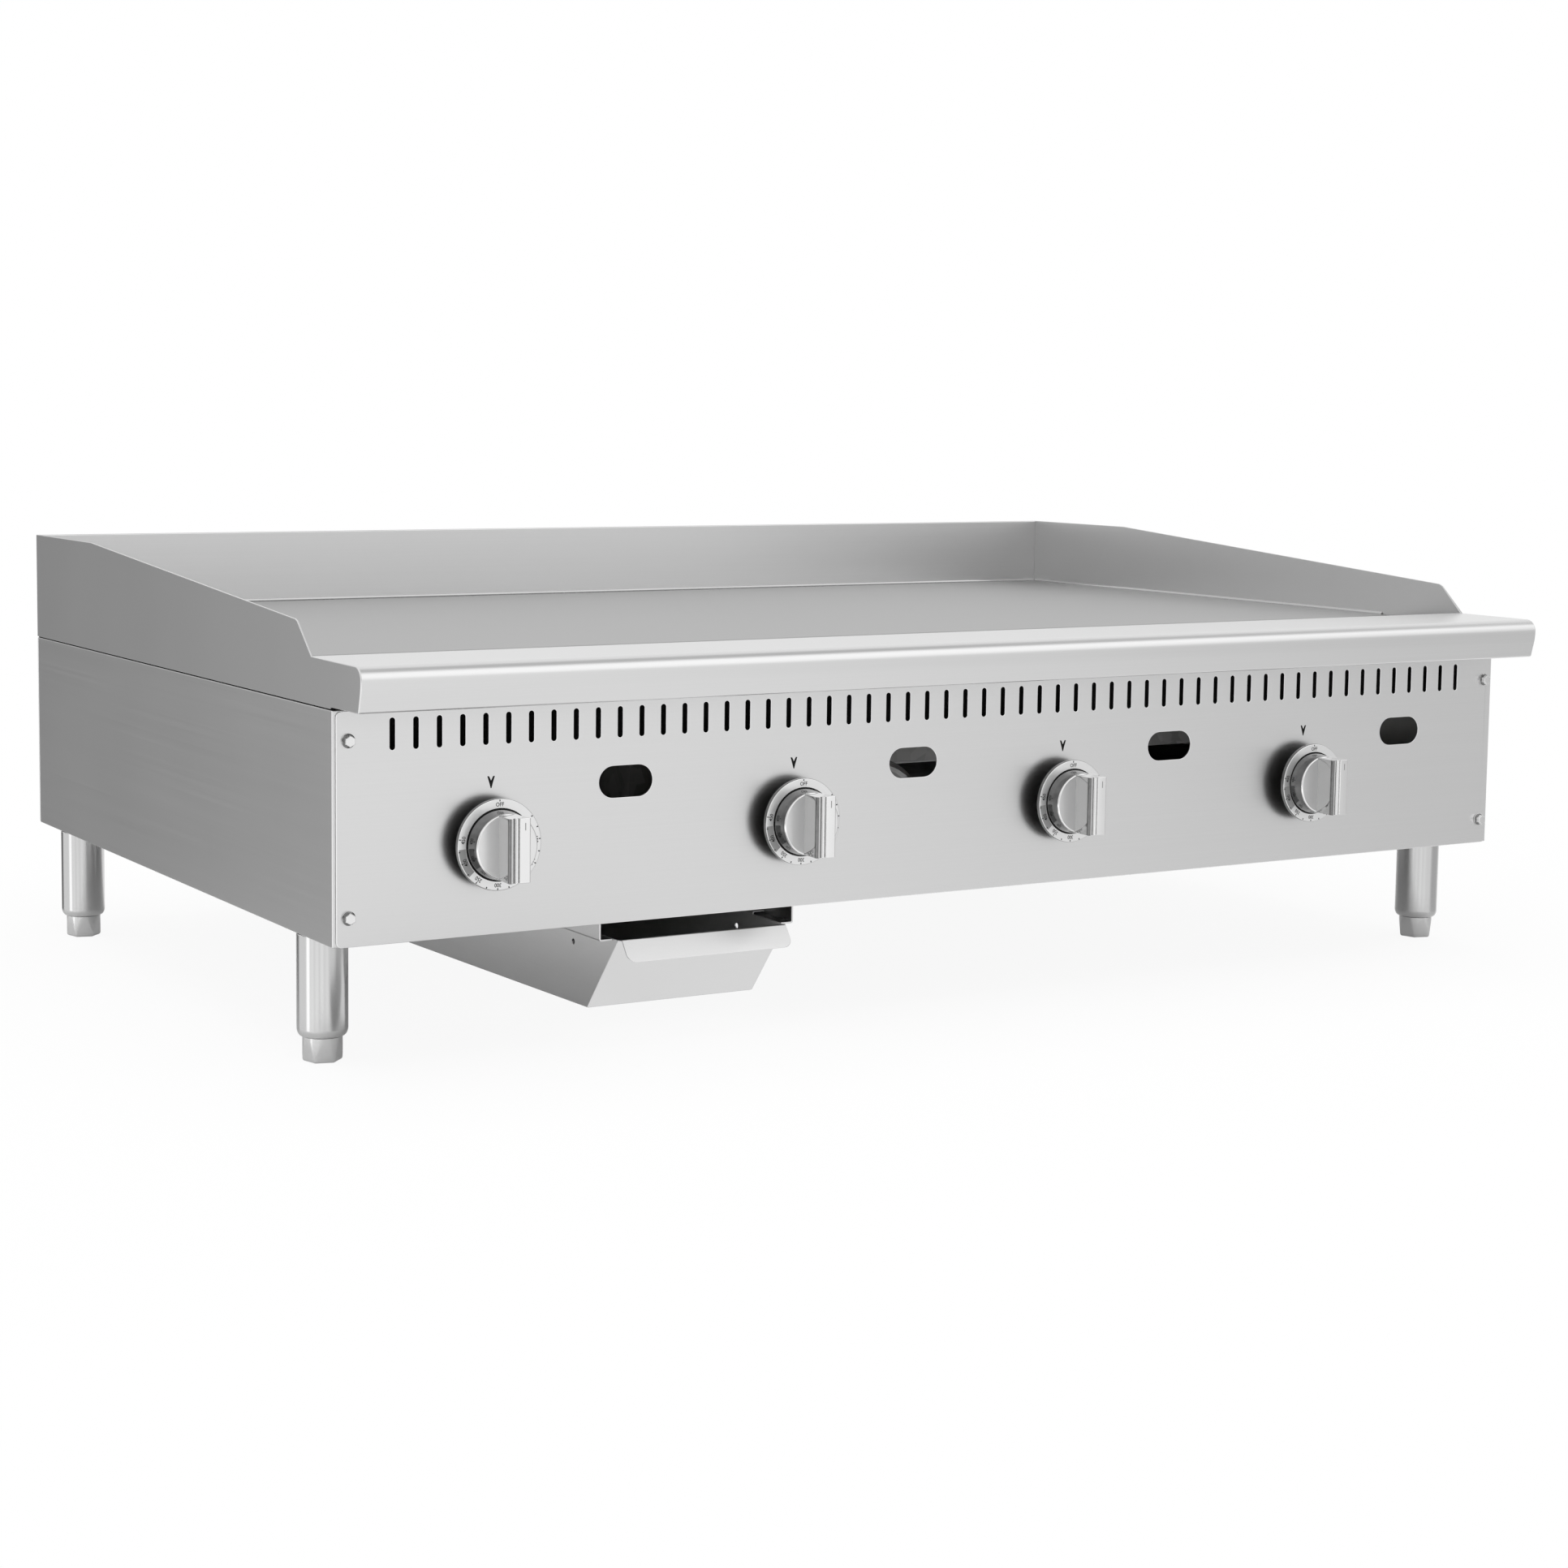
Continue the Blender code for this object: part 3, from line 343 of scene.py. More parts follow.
def bake(piece):
    """Turns a piece and its modifiers into one plain mesh."""
    graph = bpy.context.evaluated_depsgraph_get()
    plain = bpy.data.meshes.new_from_object(piece.evaluated_get(graph), preserve_all_data_layers=True,
                                            depsgraph=graph)
    plain.name = piece.name
    piece.modifiers.clear()
    piece.data = plain
    return piece


def shade(piece, angle=35):
    """Smooth bends, sharp corners and flat flats."""
    piece.data.shade_smooth()
    piece.data.set_sharp_from_angle(angle=math.radians(angle))
    flats = piece.modifiers.new("flat_flats", "WEIGHTED_NORMAL")
    flats.keep_sharp = True
    flats.weight = 100
    return bake(piece)


def deburr(piece, width, segments=1, finish=None):
    """Breaks the sharp edges; a finish, if given, colours them, partly as a painted highlight."""
    edge = piece.modifiers.new("deburred", "BEVEL")
    edge.width = width
    edge.segments = segments
    if finish:
        piece.data.materials.append(finish)
        edge.material = len(piece.data.materials) - 1
    edge.limit_method = "ANGLE"
    edge.angle_limit = math.radians(50)
    edge.use_clamp_overlap = False
    return piece


def sheet_piece(name, skin, finish, thickness=SHEET, edge=0.0003):
    """A skin with its thickness on the inside and deburred edges."""
    piece = new_piece(name, to_mesh(name, skin, finish))
    wall = piece.modifiers.new("thickness", "SOLIDIFY")
    wall.thickness = thickness
    wall.offset = -1.0
    wall.use_even_offset = True
    deburr(piece, edge)
    return shade(bake(piece))


def fasten(piece, body, slot, *stands_for):
    """Puts a piece on its body and hides the CAD nodes that it stands for."""
    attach(piece, body)
    if stands_for:
        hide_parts(*stands_for)
    triangles = sum(len(face.vertices) - 2 for face in piece.data.polygons)
    print(f"{piece.name}: {triangles} triangles on {body}")
    return piece


print(f"sheet metal of {1000 * SHEET} mm")

# %% [markdown]
# ## The control panel
#
# The front is one punched sheet: 57 air slots in a row, a lighting port beside each knob, and
# holes for the shafts and bolts. Cutting each hole with a Boolean would be slow and leave bad
# edges. In Geometry Nodes the outline and all holes are curves; a row of holes is one curve
# instanced along a line, Fill Curve makes the sheet around them, and Extrude Mesh gives it
# thickness. The bevel afterwards is the rim that deburring leaves round every hole; its brighter
# colour is partly a painted highlight.

# %% Begin, end and run a tree
def new_tree(name, inputs):
    """A Geometry Nodes tree with named inputs: its graph, and the inputs by name."""
    tree = bpy.data.node_groups.new(name, "GeometryNodeTree")
    for label, kind in inputs.items():
        tree.interface.new_socket(label, in_out="INPUT", socket_type=f"NodeSocket{kind}")
    tree.interface.new_socket("Geometry", in_out="OUTPUT", socket_type="NodeSocketGeometry")
    graph = Graph(tree)
    entry = tree.nodes.new("NodeGroupInput")
    return graph, {socket.name: Value(graph, socket) for socket in entry.outputs}


def copies_in_row(graph, piece, count, pitch, start):
    """Copies of a piece along X."""
    step = graph.node("ShaderNodeCombineXYZ", inputs={0: pitch})
    line = graph.node("GeometryNodeMeshLine", inputs={
        "Count": count, "Start Location": start, "Offset": step})
    return graph.node("GeometryNodeInstanceOnPoints", inputs={"Points": line, "Instance": piece})


def end_tree(graph, geometry, finish):
    """Ends a tree with copies made real and a finish on them."""
    whole = graph.node("GeometryNodeRealizeInstances", inputs={"Geometry": geometry})
    dressed = graph.node("GeometryNodeSetMaterial", inputs={"Geometry": whole, "Material": finish})
    graph.node("NodeGroupOutput", inputs={0: dressed})
    return graph.tree


def grown(name, tree, settings, seed_mesh=None):
    """Runs a Geometry Nodes tree with the given inputs and keeps the result as a plain mesh."""
    piece = new_piece(name, seed_mesh or bpy.data.meshes.new(name))
    modifier = piece.modifiers.new("tree", "NODES")
    modifier.node_group = tree
    sockets = {item.name: item.identifier for item in tree.interface.items_tree if item.in_out == "INPUT"}
    for label, value in settings.items():
        modifier[sockets[label]] = value
    return bake(piece)


# %% Punched sheets
HOLE_INPUTS = ("count", "pitch", "start", "rise", "width", "height")
OUTLINE_STEPS, HOLE_STEPS = 6, 8
RIM = 0.0005


def rounded(graph, width, height, radius, steps):
    """A rectangle with round corners, as a closed curve."""
    frame_curve = graph.node("GeometryNodeCurvePrimitiveQuadrilateral", {"mode": "RECTANGLE"},
                             {"Width": width, "Height": height})
    return graph.node("GeometryNodeFilletCurve", {"mode": "POLY"}, {
        "Curve": frame_curve, "Count": steps, "Radius": radius, "Limit Radius": True})


def punched_sheet_tree(name, rows):
    """A sheet with rows of round-ended holes; each row has its own six inputs."""
    inputs = {"Width": "Float", "Height": "Float", "Corner": "Float", "Thickness": "Float",
              "Place": "Vector", "Finish": "Material"}
    for row in rows:
        inputs.update({f"{row} {label}": "Int" if label == "count" else "Float" for label in HOLE_INPUTS})
    graph, given = new_tree(name, inputs)
    curves = [rounded(graph, given["Width"], given["Height"], given["Corner"], OUTLINE_STEPS)]
    for row in rows:
        count, pitch, start, rise, width, height = [given[f"{row} {label}"] for label in HOLE_INPUTS]
        hole = rounded(graph, width, height, 1.0, HOLE_STEPS)
        first = graph.node("ShaderNodeCombineXYZ", inputs={0: start, 1: rise})
        holes = copies_in_row(graph, hole, count, pitch, first)
        curves.append(graph.node("GeometryNodeRealizeInstances", inputs={"Geometry": holes}))
    outline = graph.node("GeometryNodeJoinGeometry", inputs={0: curves})
    face = graph.node("GeometryNodeFillCurve", {"mode": "NGONS"}, {"Curve": outline})
    front = graph.node("GeometryNodeExtrudeMesh", inputs={
        "Mesh": face, "Offset Scale": given["Thickness"], "Individual": False})
    back = graph.node("GeometryNodeFlipFaces", inputs={"Mesh": face})
    both = graph.node("GeometryNodeJoinGeometry", inputs={0: [front, back]})
    closed = graph.node("GeometryNodeMergeByDistance", inputs={"Geometry": both, "Distance": 0.00001})
    stood = graph.node("GeometryNodeTransform", inputs={
        "Geometry": closed, "Rotation": (math.pi / 2, 0, 0), "Translation": given["Place"]})
    return end_tree(graph, stood, given["Finish"])


def punched_sheet(name, tree_name, low, high, corner, rows):
    """A standing sheet; a row gives count, pitch, first X, height of the middle, and a hole's size."""
    middle = (low.z + high.z) / 2
    settings = {"Width": high.x - low.x, "Height": high.z - low.z, "Corner": corner, "Thickness": SHEET,
                "Place": (0.0, high.y, middle), "Finish": stainless_x}
    for row, (count, pitch, start, z, width, height) in rows.items():
        numbers = (count, pitch, start, z - middle, width, height)
        settings.update({f"{row} {label}": number for label, number in zip(HOLE_INPUTS, numbers)})
    sheet = grown(name, punched_sheet_tree(tree_name, list(rows)), settings)
    return shade(bake(deburr(sheet, RIM, 2, edge_highlight_finish)))


# %% Punch the control panel
panel_low, panel_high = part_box("front_panel")
FRONT, BASE = panel_low.y, panel_low.z
PANEL_DROP, PANEL_CORNER = 0.0028, 0.0045
panel_high = Vector((panel_high.x, FRONT + SHEET, panel_high.z - PANEL_DROP))
KNOB_X = [-0.4755, -0.1945, 0.0865, 0.3675]
KNOB_Z = BASE + 0.074
KNOBS, KNOB_PITCH = len(KNOB_X), KNOB_X[1] - KNOB_X[0]
SLOTS, SLOT_PITCH, SLOT_Z, SLOT_SIZE = 57, 0.020, BASE + 0.1641, (0.0045, 0.0252)
PORT_SIDESTEP, PORT_Z, PORT_SIZE = 0.121, BASE + 0.1155, (0.049, 0.026)
SHAFT_HOLE, BOLT_HOLE = 0.014, 0.0066
BOLT_X = 0.597
BOLT_LOW, BOLT_HIGH = BASE + 0.023, BASE + 0.1605

panel = punched_sheet("control_panel", "punched_panel", panel_low, panel_high, PANEL_CORNER, {
    "Slot": (SLOTS, SLOT_PITCH, -SLOT_PITCH * (SLOTS - 1) / 2, SLOT_Z, *SLOT_SIZE),
    "Port": (KNOBS, KNOB_PITCH, KNOB_X[0] + PORT_SIDESTEP, PORT_Z, *PORT_SIZE),
    "Shaft": (KNOBS, KNOB_PITCH, KNOB_X[0], KNOB_Z, SHAFT_HOLE, SHAFT_HOLE),
    "Low bolt": (2, 2 * BOLT_X, -BOLT_X, BOLT_LOW, BOLT_HOLE, BOLT_HOLE),
    "High bolt": (2, 2 * BOLT_X, -BOLT_X, BOLT_HIGH, BOLT_HOLE, BOLT_HOLE),
})
fasten(panel, "cabinet", "stainless", "front_panel")

# %% Punch the back panel
REAR_CORNER = 0.002
VENTS, VENT_PITCH, VENT_Z, VENT_SIZE = 12, 0.090, BASE + 0.150, (0.062, 0.010)
INLET_X, INLET_Z, INLET_HOLE = 0.545, BASE + 0.046, 0.0262

rear = punched_sheet("rear_panel", "punched_rear", *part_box("back_panel"), REAR_CORNER, {
    "Vent": (VENTS, VENT_PITCH, -VENT_PITCH * (VENTS - 1) / 2, VENT_Z, *VENT_SIZE),
    "Inlet": (1, 0.0, INLET_X, INLET_Z, INLET_HOLE, INLET_HOLE),
})
fasten(rear, "cabinet", "stainless", "back_panel")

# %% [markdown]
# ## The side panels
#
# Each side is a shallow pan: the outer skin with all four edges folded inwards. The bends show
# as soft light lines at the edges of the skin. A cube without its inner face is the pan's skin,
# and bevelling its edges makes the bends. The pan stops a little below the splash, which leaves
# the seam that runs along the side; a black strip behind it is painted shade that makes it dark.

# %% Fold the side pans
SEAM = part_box("left_side_panel")[1].z
SEAM_GAP = 0.0007
TOP_FLANGE, BOTTOM_FLANGE = 0.014, 0.045
PAN_BEND = 0.0010


def side_pan(name, node, side):
    low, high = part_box(node)
    half = max(abs(low.x), abs(high.x))
    pan = cube_skin()
    for vert in pan.verts:
        reach = TOP_FLANGE if vert.co.z > 0 else BOTTOM_FLANGE
        inner = vert.co.x * side < 0
        vert.co.z = high.z - SEAM_GAP if vert.co.z > 0 else low.z
        vert.co.y = high.y if vert.co.y > 0 else low.y
        vert.co.x = side * (half - reach) if inner else side * half
    open_side = [face for face in pan.faces if all(abs(v.co.x) < half - TOP_FLANGE / 2 for v in face.verts)]
    bmesh.ops.delete(pan, geom=open_side, context="FACES")
    round_off(pan, [edge for edge in pan.edges if not edge.is_boundary], PAN_BEND, 5)
    face_out(pan, (side, 0, 0))
    return fasten(sheet_piece(name, pan, stainless_y), "cabinet", "stainless", node)


side_pan("left_pan", "left_side_panel", -1)
side_pan("right_pan", "right_side_panel", 1)

# %% [markdown]
# ## Splashes and front ledge
#
# The side splashes and the ledge are welded into one piece: the ledge's round nose runs into the
# splash's flat end with the weld ground smooth, so no joint shows there. Three separate sheets
# would show a gap. Here both ends are one outline each, and the ledge is pulled between the edges
# that they share. Bevelling the shared edges gives the ground weld its small radius.

# %% Outline of the splashes and the ledge
HALF, BACK, TOP = cad_box[1]
NOSE = cad_box[0].y
INNER = HALF - SHEET - 0.0003
LEDGE_LOW, LEDGE_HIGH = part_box("front_ledge")
NOSE_ROUND = 0.011
FRONT_ROUND, FRONT_LEAN = 0.045, 14
UNDER_ROUND = 0.002
LEDGE_LIP = 0.020
RETURN_Y = FRONT + 0.004
SLOPE_FOOT = FRONT + 0.0423
FRONT_KNEE = (FRONT + 0.0725, BASE + 0.249)
REAR_KNEE = (FRONT + 0.5766, TOP)
KNEE_ROUND = 0.012
SPLASH_FOOT = SEAM + 0.0003
WELD_ROUND = 0.0011


def ledge_line():
    """The ledge from the slope's foot over its nose, down the leaning front and under."""
    nose_z = LEDGE_HIGH.z - NOSE_ROUND
    over = arc((NOSE + NOSE_ROUND, nose_z), NOSE_ROUND, 90, 180, 10)
    down = arc((NOSE + FRONT_ROUND, nose_z), FRONT_ROUND, 180, 180 + FRONT_LEAN, 4)
    lean_y, lean_z = down[-1]
    corner = (lean_y + (lean_z - LEDGE_LOW.z) * math.tan(math.radians(FRONT_LEAN)), LEDGE_LOW.z)
    under = bent([down[-1], corner, (RETURN_Y, LEDGE_LOW.z)], UNDER_ROUND, 4)
    return [(SLOPE_FOOT, LEDGE_HIGH.z)] + over + down[1:] + under[1:]


def splash_line():
    """The free edge of a splash, along its foot to the back and over both knees."""
    over = bent([(BACK, TOP), REAR_KNEE, FRONT_KNEE, (SLOPE_FOOT, LEDGE_HIGH.z)], KNEE_ROUND, 6)
    return [(RETURN_Y + 0.001, SPLASH_FOOT), (BACK, SPLASH_FOOT)] + over[:-1]


shared_line, free_line = ledge_line(), splash_line()
print(f"ledge line of {len(shared_line)} points, splash line of {len(free_line)}")

# %% Weld the splashes to the ledge
weldment = bmesh.new()
rims = []
for x in (-HALF, HALF):
    rim = [weldment.verts.new((x, y, z)) for y, z in shared_line + free_line]
    weldment.faces.new(rim)
    rims.append(rim[:len(shared_line)])
for left, right in zip(zip(rims[0], rims[0][1:]), zip(rims[1], rims[1][1:])):
    weldment.faces.new((left[0], left[1], right[1], right[0]))
back_edge = [weldment.verts.new((x, LEDGE_HIGH.y, LEDGE_HIGH.z)) for x in (-INNER, INNER)]
lip_edge = [weldment.verts.new((x, LEDGE_HIGH.y, LEDGE_HIGH.z - LEDGE_LIP)) for x in (-INNER, INNER)]
weldment.faces.new((rims[0][0], rims[1][0], back_edge[1], back_edge[0]))
weldment.faces.new((back_edge[0], back_edge[1], lip_edge[1], lip_edge[0]))
face_out(weldment, (0, -1, 0))
welds = []
for edge in weldment.edges:
    first, second = edge.verts[0].co.x, edge.verts[1].co.x
    if abs(first) > INNER and first == second and not edge.is_boundary:
        welds.append(edge)
round_off(weldment, welds, WELD_ROUND, 3)
splash = sheet_piece("splash_and_ledge", weldment, stainless_x)
fasten(splash, "cabinet", "stainless", "left_splash", "right_splash", "front_ledge")

# %% Shade the side seams with a black strip
# A black strip sits in each seam as painted shade, so the gap reads dark.
SHADE_STRIP_OUT, SHADE_STRIP_LOW, SHADE_STRIP_HIGH = HALF - 0.0007, SEAM - 0.0014, SPLASH_FOOT + 0.0010
SHADE_STRIP_FOOT, SHADE_STRIP_TOP, SHADE_STRIP_SHORT = HALF - 0.010, HALF - 0.0016, 0.003
SHADE_STRIP_BEND, SHADE_STRIP_SHEET, SHADE_STRIP_EDGE = 0.0004, 0.0005, 0.0001

seam_shade_skin = bmesh.new()
for side in (-1, 1):
    line = bent([(side * SHADE_STRIP_FOOT, SHADE_STRIP_LOW), (side * SHADE_STRIP_OUT, SHADE_STRIP_LOW),
                 (side * SHADE_STRIP_OUT, SHADE_STRIP_HIGH), (side * SHADE_STRIP_TOP, SHADE_STRIP_HIGH)], SHADE_STRIP_BEND, 2)
    strip = drawn_out(line, "Y", FRONT + SHADE_STRIP_SHORT, BACK - SHADE_STRIP_SHORT)
    face_out(strip, (side, 0, 0))
    part = to_mesh("seam_shade_strip", strip)
    seam_shade_skin.from_mesh(part)
    bpy.data.meshes.remove(part)
fasten(sheet_piece("seam_painted_shade", seam_shade_skin, black_seam_shade, SHADE_STRIP_SHEET, SHADE_STRIP_EDGE), "cabinet", "stainless")

# %% [markdown]
# ## Back splash and cooking plate
#
# The back splash is a sheet whose top edge is folded flat onto itself, a hem that leaves no sharp
# edge. The cooking plate is an inch of steel, ground flat, with a larger radius on its front edge
# where grease runs into the trough. A thin polished weld closes the joint between plate and
# splashes, and shows as a light line.

# %% Hem the back splash
splash_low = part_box("back_splash")[0]
HEM_SHEET, HEM_EDGE, HEM_ROUND, HEM_DROP = 0.0010, 0.0002, 0.0011, 0.013

hem_path = [(splash_low.y, splash_low.z)]
hem_path += arc((splash_low.y + HEM_ROUND, TOP - HEM_ROUND), HEM_ROUND, 180, 0, 8)
hem_path += [(splash_low.y + 2 * HEM_ROUND, TOP - HEM_DROP)]
hem = drawn_out(hem_path, "X", SHEET - HALF, HALF - SHEET)
face_out(hem, (0, -1, 0))
back_splash = sheet_piece("hemmed_back_splash", hem, stainless_x, HEM_SHEET, HEM_EDGE)
fasten(back_splash, "cabinet", "stainless", "back_splash")

# %% Grind the cooking plate
plate_low, plate_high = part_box("griddle_plate")
PLATE_CORNER, PLATE_NOSE, PLATE_EDGE = 0.014, 0.003, 0.0008
NEAR = 0.0001

slab = cube_skin()
for vert in slab.verts:
    for axis in range(3):
        vert.co[axis] = plate_high[axis] if vert.co[axis] > 0 else plate_low[axis]
upright = [e for e in slab.edges if all(v.co.y < 0 for v in e.verts) and e.verts[0].co.x == e.verts[1].co.x]
round_off(slab, upright, PLATE_CORNER, 6)
front_edge = [e for e in slab.edges if all(v.co.y < plate_low.y + PLATE_CORNER + NEAR
                                           and v.co.z > plate_high.z - NEAR for v in e.verts)]
round_off(slab, front_edge, PLATE_NOSE, 5)
plate = new_piece("cooking_plate", to_mesh("cooking_plate", slab, ground_plate))
shade(bake(deburr(plate, PLATE_EDGE, 2)))
fasten(plate, "cabinet", "plate_steel", "griddle_plate")

# %% Weld the plate to the splashes
FILLET = [(0.0, 0.0024), (0.0004, 0.0011), (0.0011, 0.0004), (0.0024, 0.0)]
FILLET_SHEET, FILLET_EDGE = 0.0003, 0.00005
weld_front = plate_low.y + PLATE_CORNER
fillet = bmesh.new()
runs = []
for inset, rise in FILLET:
    x, y = INNER - inset, plate_high.y - inset
    corners = [(-x, weld_front), (-x, y), (x, y), (x, weld_front)]
    runs.append([fillet.verts.new((a, b, plate_high.z + rise)) for a, b in corners])
for lower, upper in zip(runs, runs[1:]):
    for step in range(3):
        fillet.faces.new((lower[step], lower[step + 1], upper[step + 1], upper[step]))
face_out(fillet, (0, -1, 1))
fasten(sheet_piece("plate_weld", fillet, chrome_grip_shade_and_weld, FILLET_SHEET, FILLET_EDGE), "cabinet", "stainless")

# %% [markdown]
# ## The grease drawer and its rails
#
# Grease falls into a folded drawer under the front. Its front leans forward, and the top of it is
# turned down into a pull with round corners. Side flanges slide on two Z rails. The drawer starts
# as a box without a top; edges of the rim are extruded into flanges and the pull, and then every
# fold is bevelled. The two hanging holes are cut with a Boolean, because the wall is already thin.

# %% Sizes of the drawer
drawer_low, drawer_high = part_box("grease_drawer")
DRAWER_X, DRAWER_HALF = -0.2815, 0.080
DRAWER_TOP_Y, DRAWER_FOOT_Y = FRONT - 0.0015, FRONT + 0.051
DRAWER_RIM = BASE - 0.0148
DRAWER_BACK = drawer_high.y
DRAWER_SHEET, DRAWER_EDGE = 0.0012, 0.00025
SIDE_RISE = drawer_high.z - DRAWER_SHEET - DRAWER_RIM
FRONT_DEPTH, REAR_DEPTH = DRAWER_RIM - 0.0235, DRAWER_RIM - drawer_low.z
FLANGE, FLANGE_START = 0.0105, 0.100
PULL_REACH, PULL_DROP, PULL_CORNER = 0.0126, 0.0167, 0.008
PULL_INSETS = (0.019, 0.003)
FOLD = 0.0012
FLAT_ANGLE = 0.1


def pulled_edge(sheet, edge, way):
    """Grows a sheet from one of its open edges; gives back the new edge."""
    added = bmesh.ops.extrude_edge_only(sheet, edges=[edge])["geom"]
    move_new(sheet, added, way)
    return next(item for item in added if isinstance(item, bmesh.types.BMEdge))


def shortened(edge, first, share):
    """Splits an edge and gives back the part beyond the cut, counted from one of its ends."""
    other = edge.other_vert(first)
    cut = bmesh.utils.edge_split(edge, first, share)[1]
    return next(part for part in cut.link_edges if other in part.verts)


print(f"drawer {2000 * DRAWER_HALF:.0f} mm wide, {1000 * (DRAWER_BACK - DRAWER_TOP_Y):.0f} mm deep")

# %% Fold the drawer
tray = cube_skin()
for vert in tray.verts:
    upper, rear_side = vert.co.z > 0, vert.co.y > 0
    vert.co.x = DRAWER_X + math.copysign(DRAWER_HALF, vert.co.x)
    vert.co.z = DRAWER_RIM - (0 if upper else REAR_DEPTH if rear_side else FRONT_DEPTH)
    vert.co.y = DRAWER_BACK if rear_side else DRAWER_TOP_Y if upper else DRAWER_FOOT_Y
lid = [face for face in tray.faces if all(v.co.z > DRAWER_RIM - 0.001 for v in face.verts)]
bmesh.ops.delete(tray, geom=lid, context="FACES_ONLY")
for edge in [edge for edge in tray.edges if edge.is_boundary]:
    middle = (edge.verts[0].co + edge.verts[1].co) / 2
    if middle.y > DRAWER_BACK - 0.001:
        continue
    if middle.y < DRAWER_TOP_Y + 0.001:
        left, right = sorted(edge.verts, key=lambda vert: vert.co.x)
        edge = shortened(shortened(edge, left, PULL_INSETS[0]), right, PULL_INSETS[1])
        pull_end = pulled_edge(tray, edge, (0, -PULL_REACH, -PULL_DROP))
        round_off(tray, pull_end.verts[:], PULL_CORNER, 6, "VERTICES")
    else:
        front_end = min(edge.verts, key=lambda vert: vert.co.y)
        raised = pulled_edge(tray, shortened(edge, front_end, FLANGE_START), (0, 0, SIDE_RISE))
        pulled_edge(tray, raised, (math.copysign(FLANGE, middle.x - DRAWER_X), 0, 0))
folds = [edge for edge in tray.edges if not edge.is_boundary and edge.calc_face_angle() > FLAT_ANGLE]
round_off(tray, folds, FOLD, 3)
face_out(tray, (0, 0, -1))
drawer = sheet_piece("folded_drawer", tray, stainless_y, DRAWER_SHEET, DRAWER_EDGE)
print(f"drawer folded: {len(drawer.data.polygons)} faces")

# %% Drill the drawer and paint its inside light
HOLE_PLACE = (DRAWER_X, FRONT + 0.0767, BASE - 0.0284)
HOLE_RADIUS, DRILL_LENGTH = 0.0025, 0.17

drill_bit = bmesh.new()
bmesh.ops.create_cone(drill_bit, cap_ends=True, segments=24, radius1=HOLE_RADIUS, radius2=HOLE_RADIUS,
                      depth=DRILL_LENGTH,
                      matrix=Matrix.Translation(HOLE_PLACE) @ Matrix.Rotation(math.pi / 2, 4, "Y"))
bit = new_piece("drill_bit", to_mesh("drill_bit", drill_bit))
holes = drawer.modifiers.new("holes", "BOOLEAN")
holes.object = bit
holes.solver = "EXACT"
shade(bake(drawer))
bpy.data.objects.remove(bit)
# The inward faces get the painted light finish.
drawer.data.materials.append(drawer_inside_painted_light)
for face in drawer.data.polygons:
    towards_middle = (face.center.x - DRAWER_X) * face.normal.x < -0.01
    inward = towards_middle or face.normal.y > 0.3 or face.normal.z > 0.5
    if inward and face.center.y > DRAWER_TOP_Y + 0.002:
        face.material_index = len(drawer.data.materials) - 1
fasten(drawer, "drawer", "stainless", "grease_drawer")

# %% Fold the rails
RAIL_WEB, RAIL_BEND = 0.0927, 0.0020
for node, side in (("drawer_rail_left", -1), ("drawer_rail_right", 1)):
    low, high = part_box(node)
    foot, lip = (low.x, high.x) if side < 0 else (high.x, low.x)
    web = DRAWER_X + side * RAIL_WEB
    path = bent([(foot, high.z), (web, high.z), (web, low.z), (lip, low.z)], RAIL_BEND, 4)
    rail = drawn_out(path, "Y", low.y, high.y)
    face_out(rail, (side, 0, 0))
    fasten(sheet_piece(node.replace("drawer_rail", "slide_rail"), rail, stainless_y, SHEET, DRAWER_EDGE),
           "cabinet", "stainless", node)

# %% [markdown]
# ## Legs and feet
#
# Four tube legs screw into the body, each with a foot that screws in and out to level the griddle.
# A leg is a turned shape: a profile spun round an axis, and Geometry Nodes set the same leg at the
# four corners. Each foot belongs to a body of its own, because it moves. A foot is round at the top,
# and six leaning flats for a wrench cut into it towards the sole.

# %% Turning, and setting a piece at four corners
def turned(profile, steps):
    """A profile of (radius, height) points, spun round Z."""
    lathe = bmesh.new()
    verts = [lathe.verts.new((radius, 0, height)) for radius, height in profile]
    edges = [lathe.edges.new(pair) for pair in zip(verts, verts[1:])]
    bmesh.ops.spin(lathe, geom=verts + edges, cent=(0, 0, 0), axis=(0, 0, 1), angle=2 * math.pi,
                   steps=steps, use_merge=True)
    bmesh.ops.remove_doubles(lathe, verts=lathe.verts, dist=0.000001)
    bmesh.ops.recalc_face_normals(lathe, faces=lathe.faces)
    return lathe


def corner_tree(name):
    """Sets the input mesh at the corners of a rectangle that lies in XY or stands in XZ."""
    graph, given = new_tree(name, {"Piece": "Geometry", "Across": "Float", "Up": "Float", "Turn": "Vector",
                                   "Place": "Vector", "Finish": "Material"})
    grid = graph.node("GeometryNodeMeshGrid", inputs={
        "Size X": given["Across"], "Size Y": given["Up"], "Vertices X": 2, "Vertices Y": 2})
    corners = graph.node("GeometryNodeTransform", inputs={
        "Geometry": grid, "Rotation": given["Turn"], "Translation": given["Place"]})
    copies = graph.node("GeometryNodeInstanceOnPoints", inputs={
        "Points": corners, "Instance": given["Piece"]})
    return end_tree(graph, copies, given["Finish"])


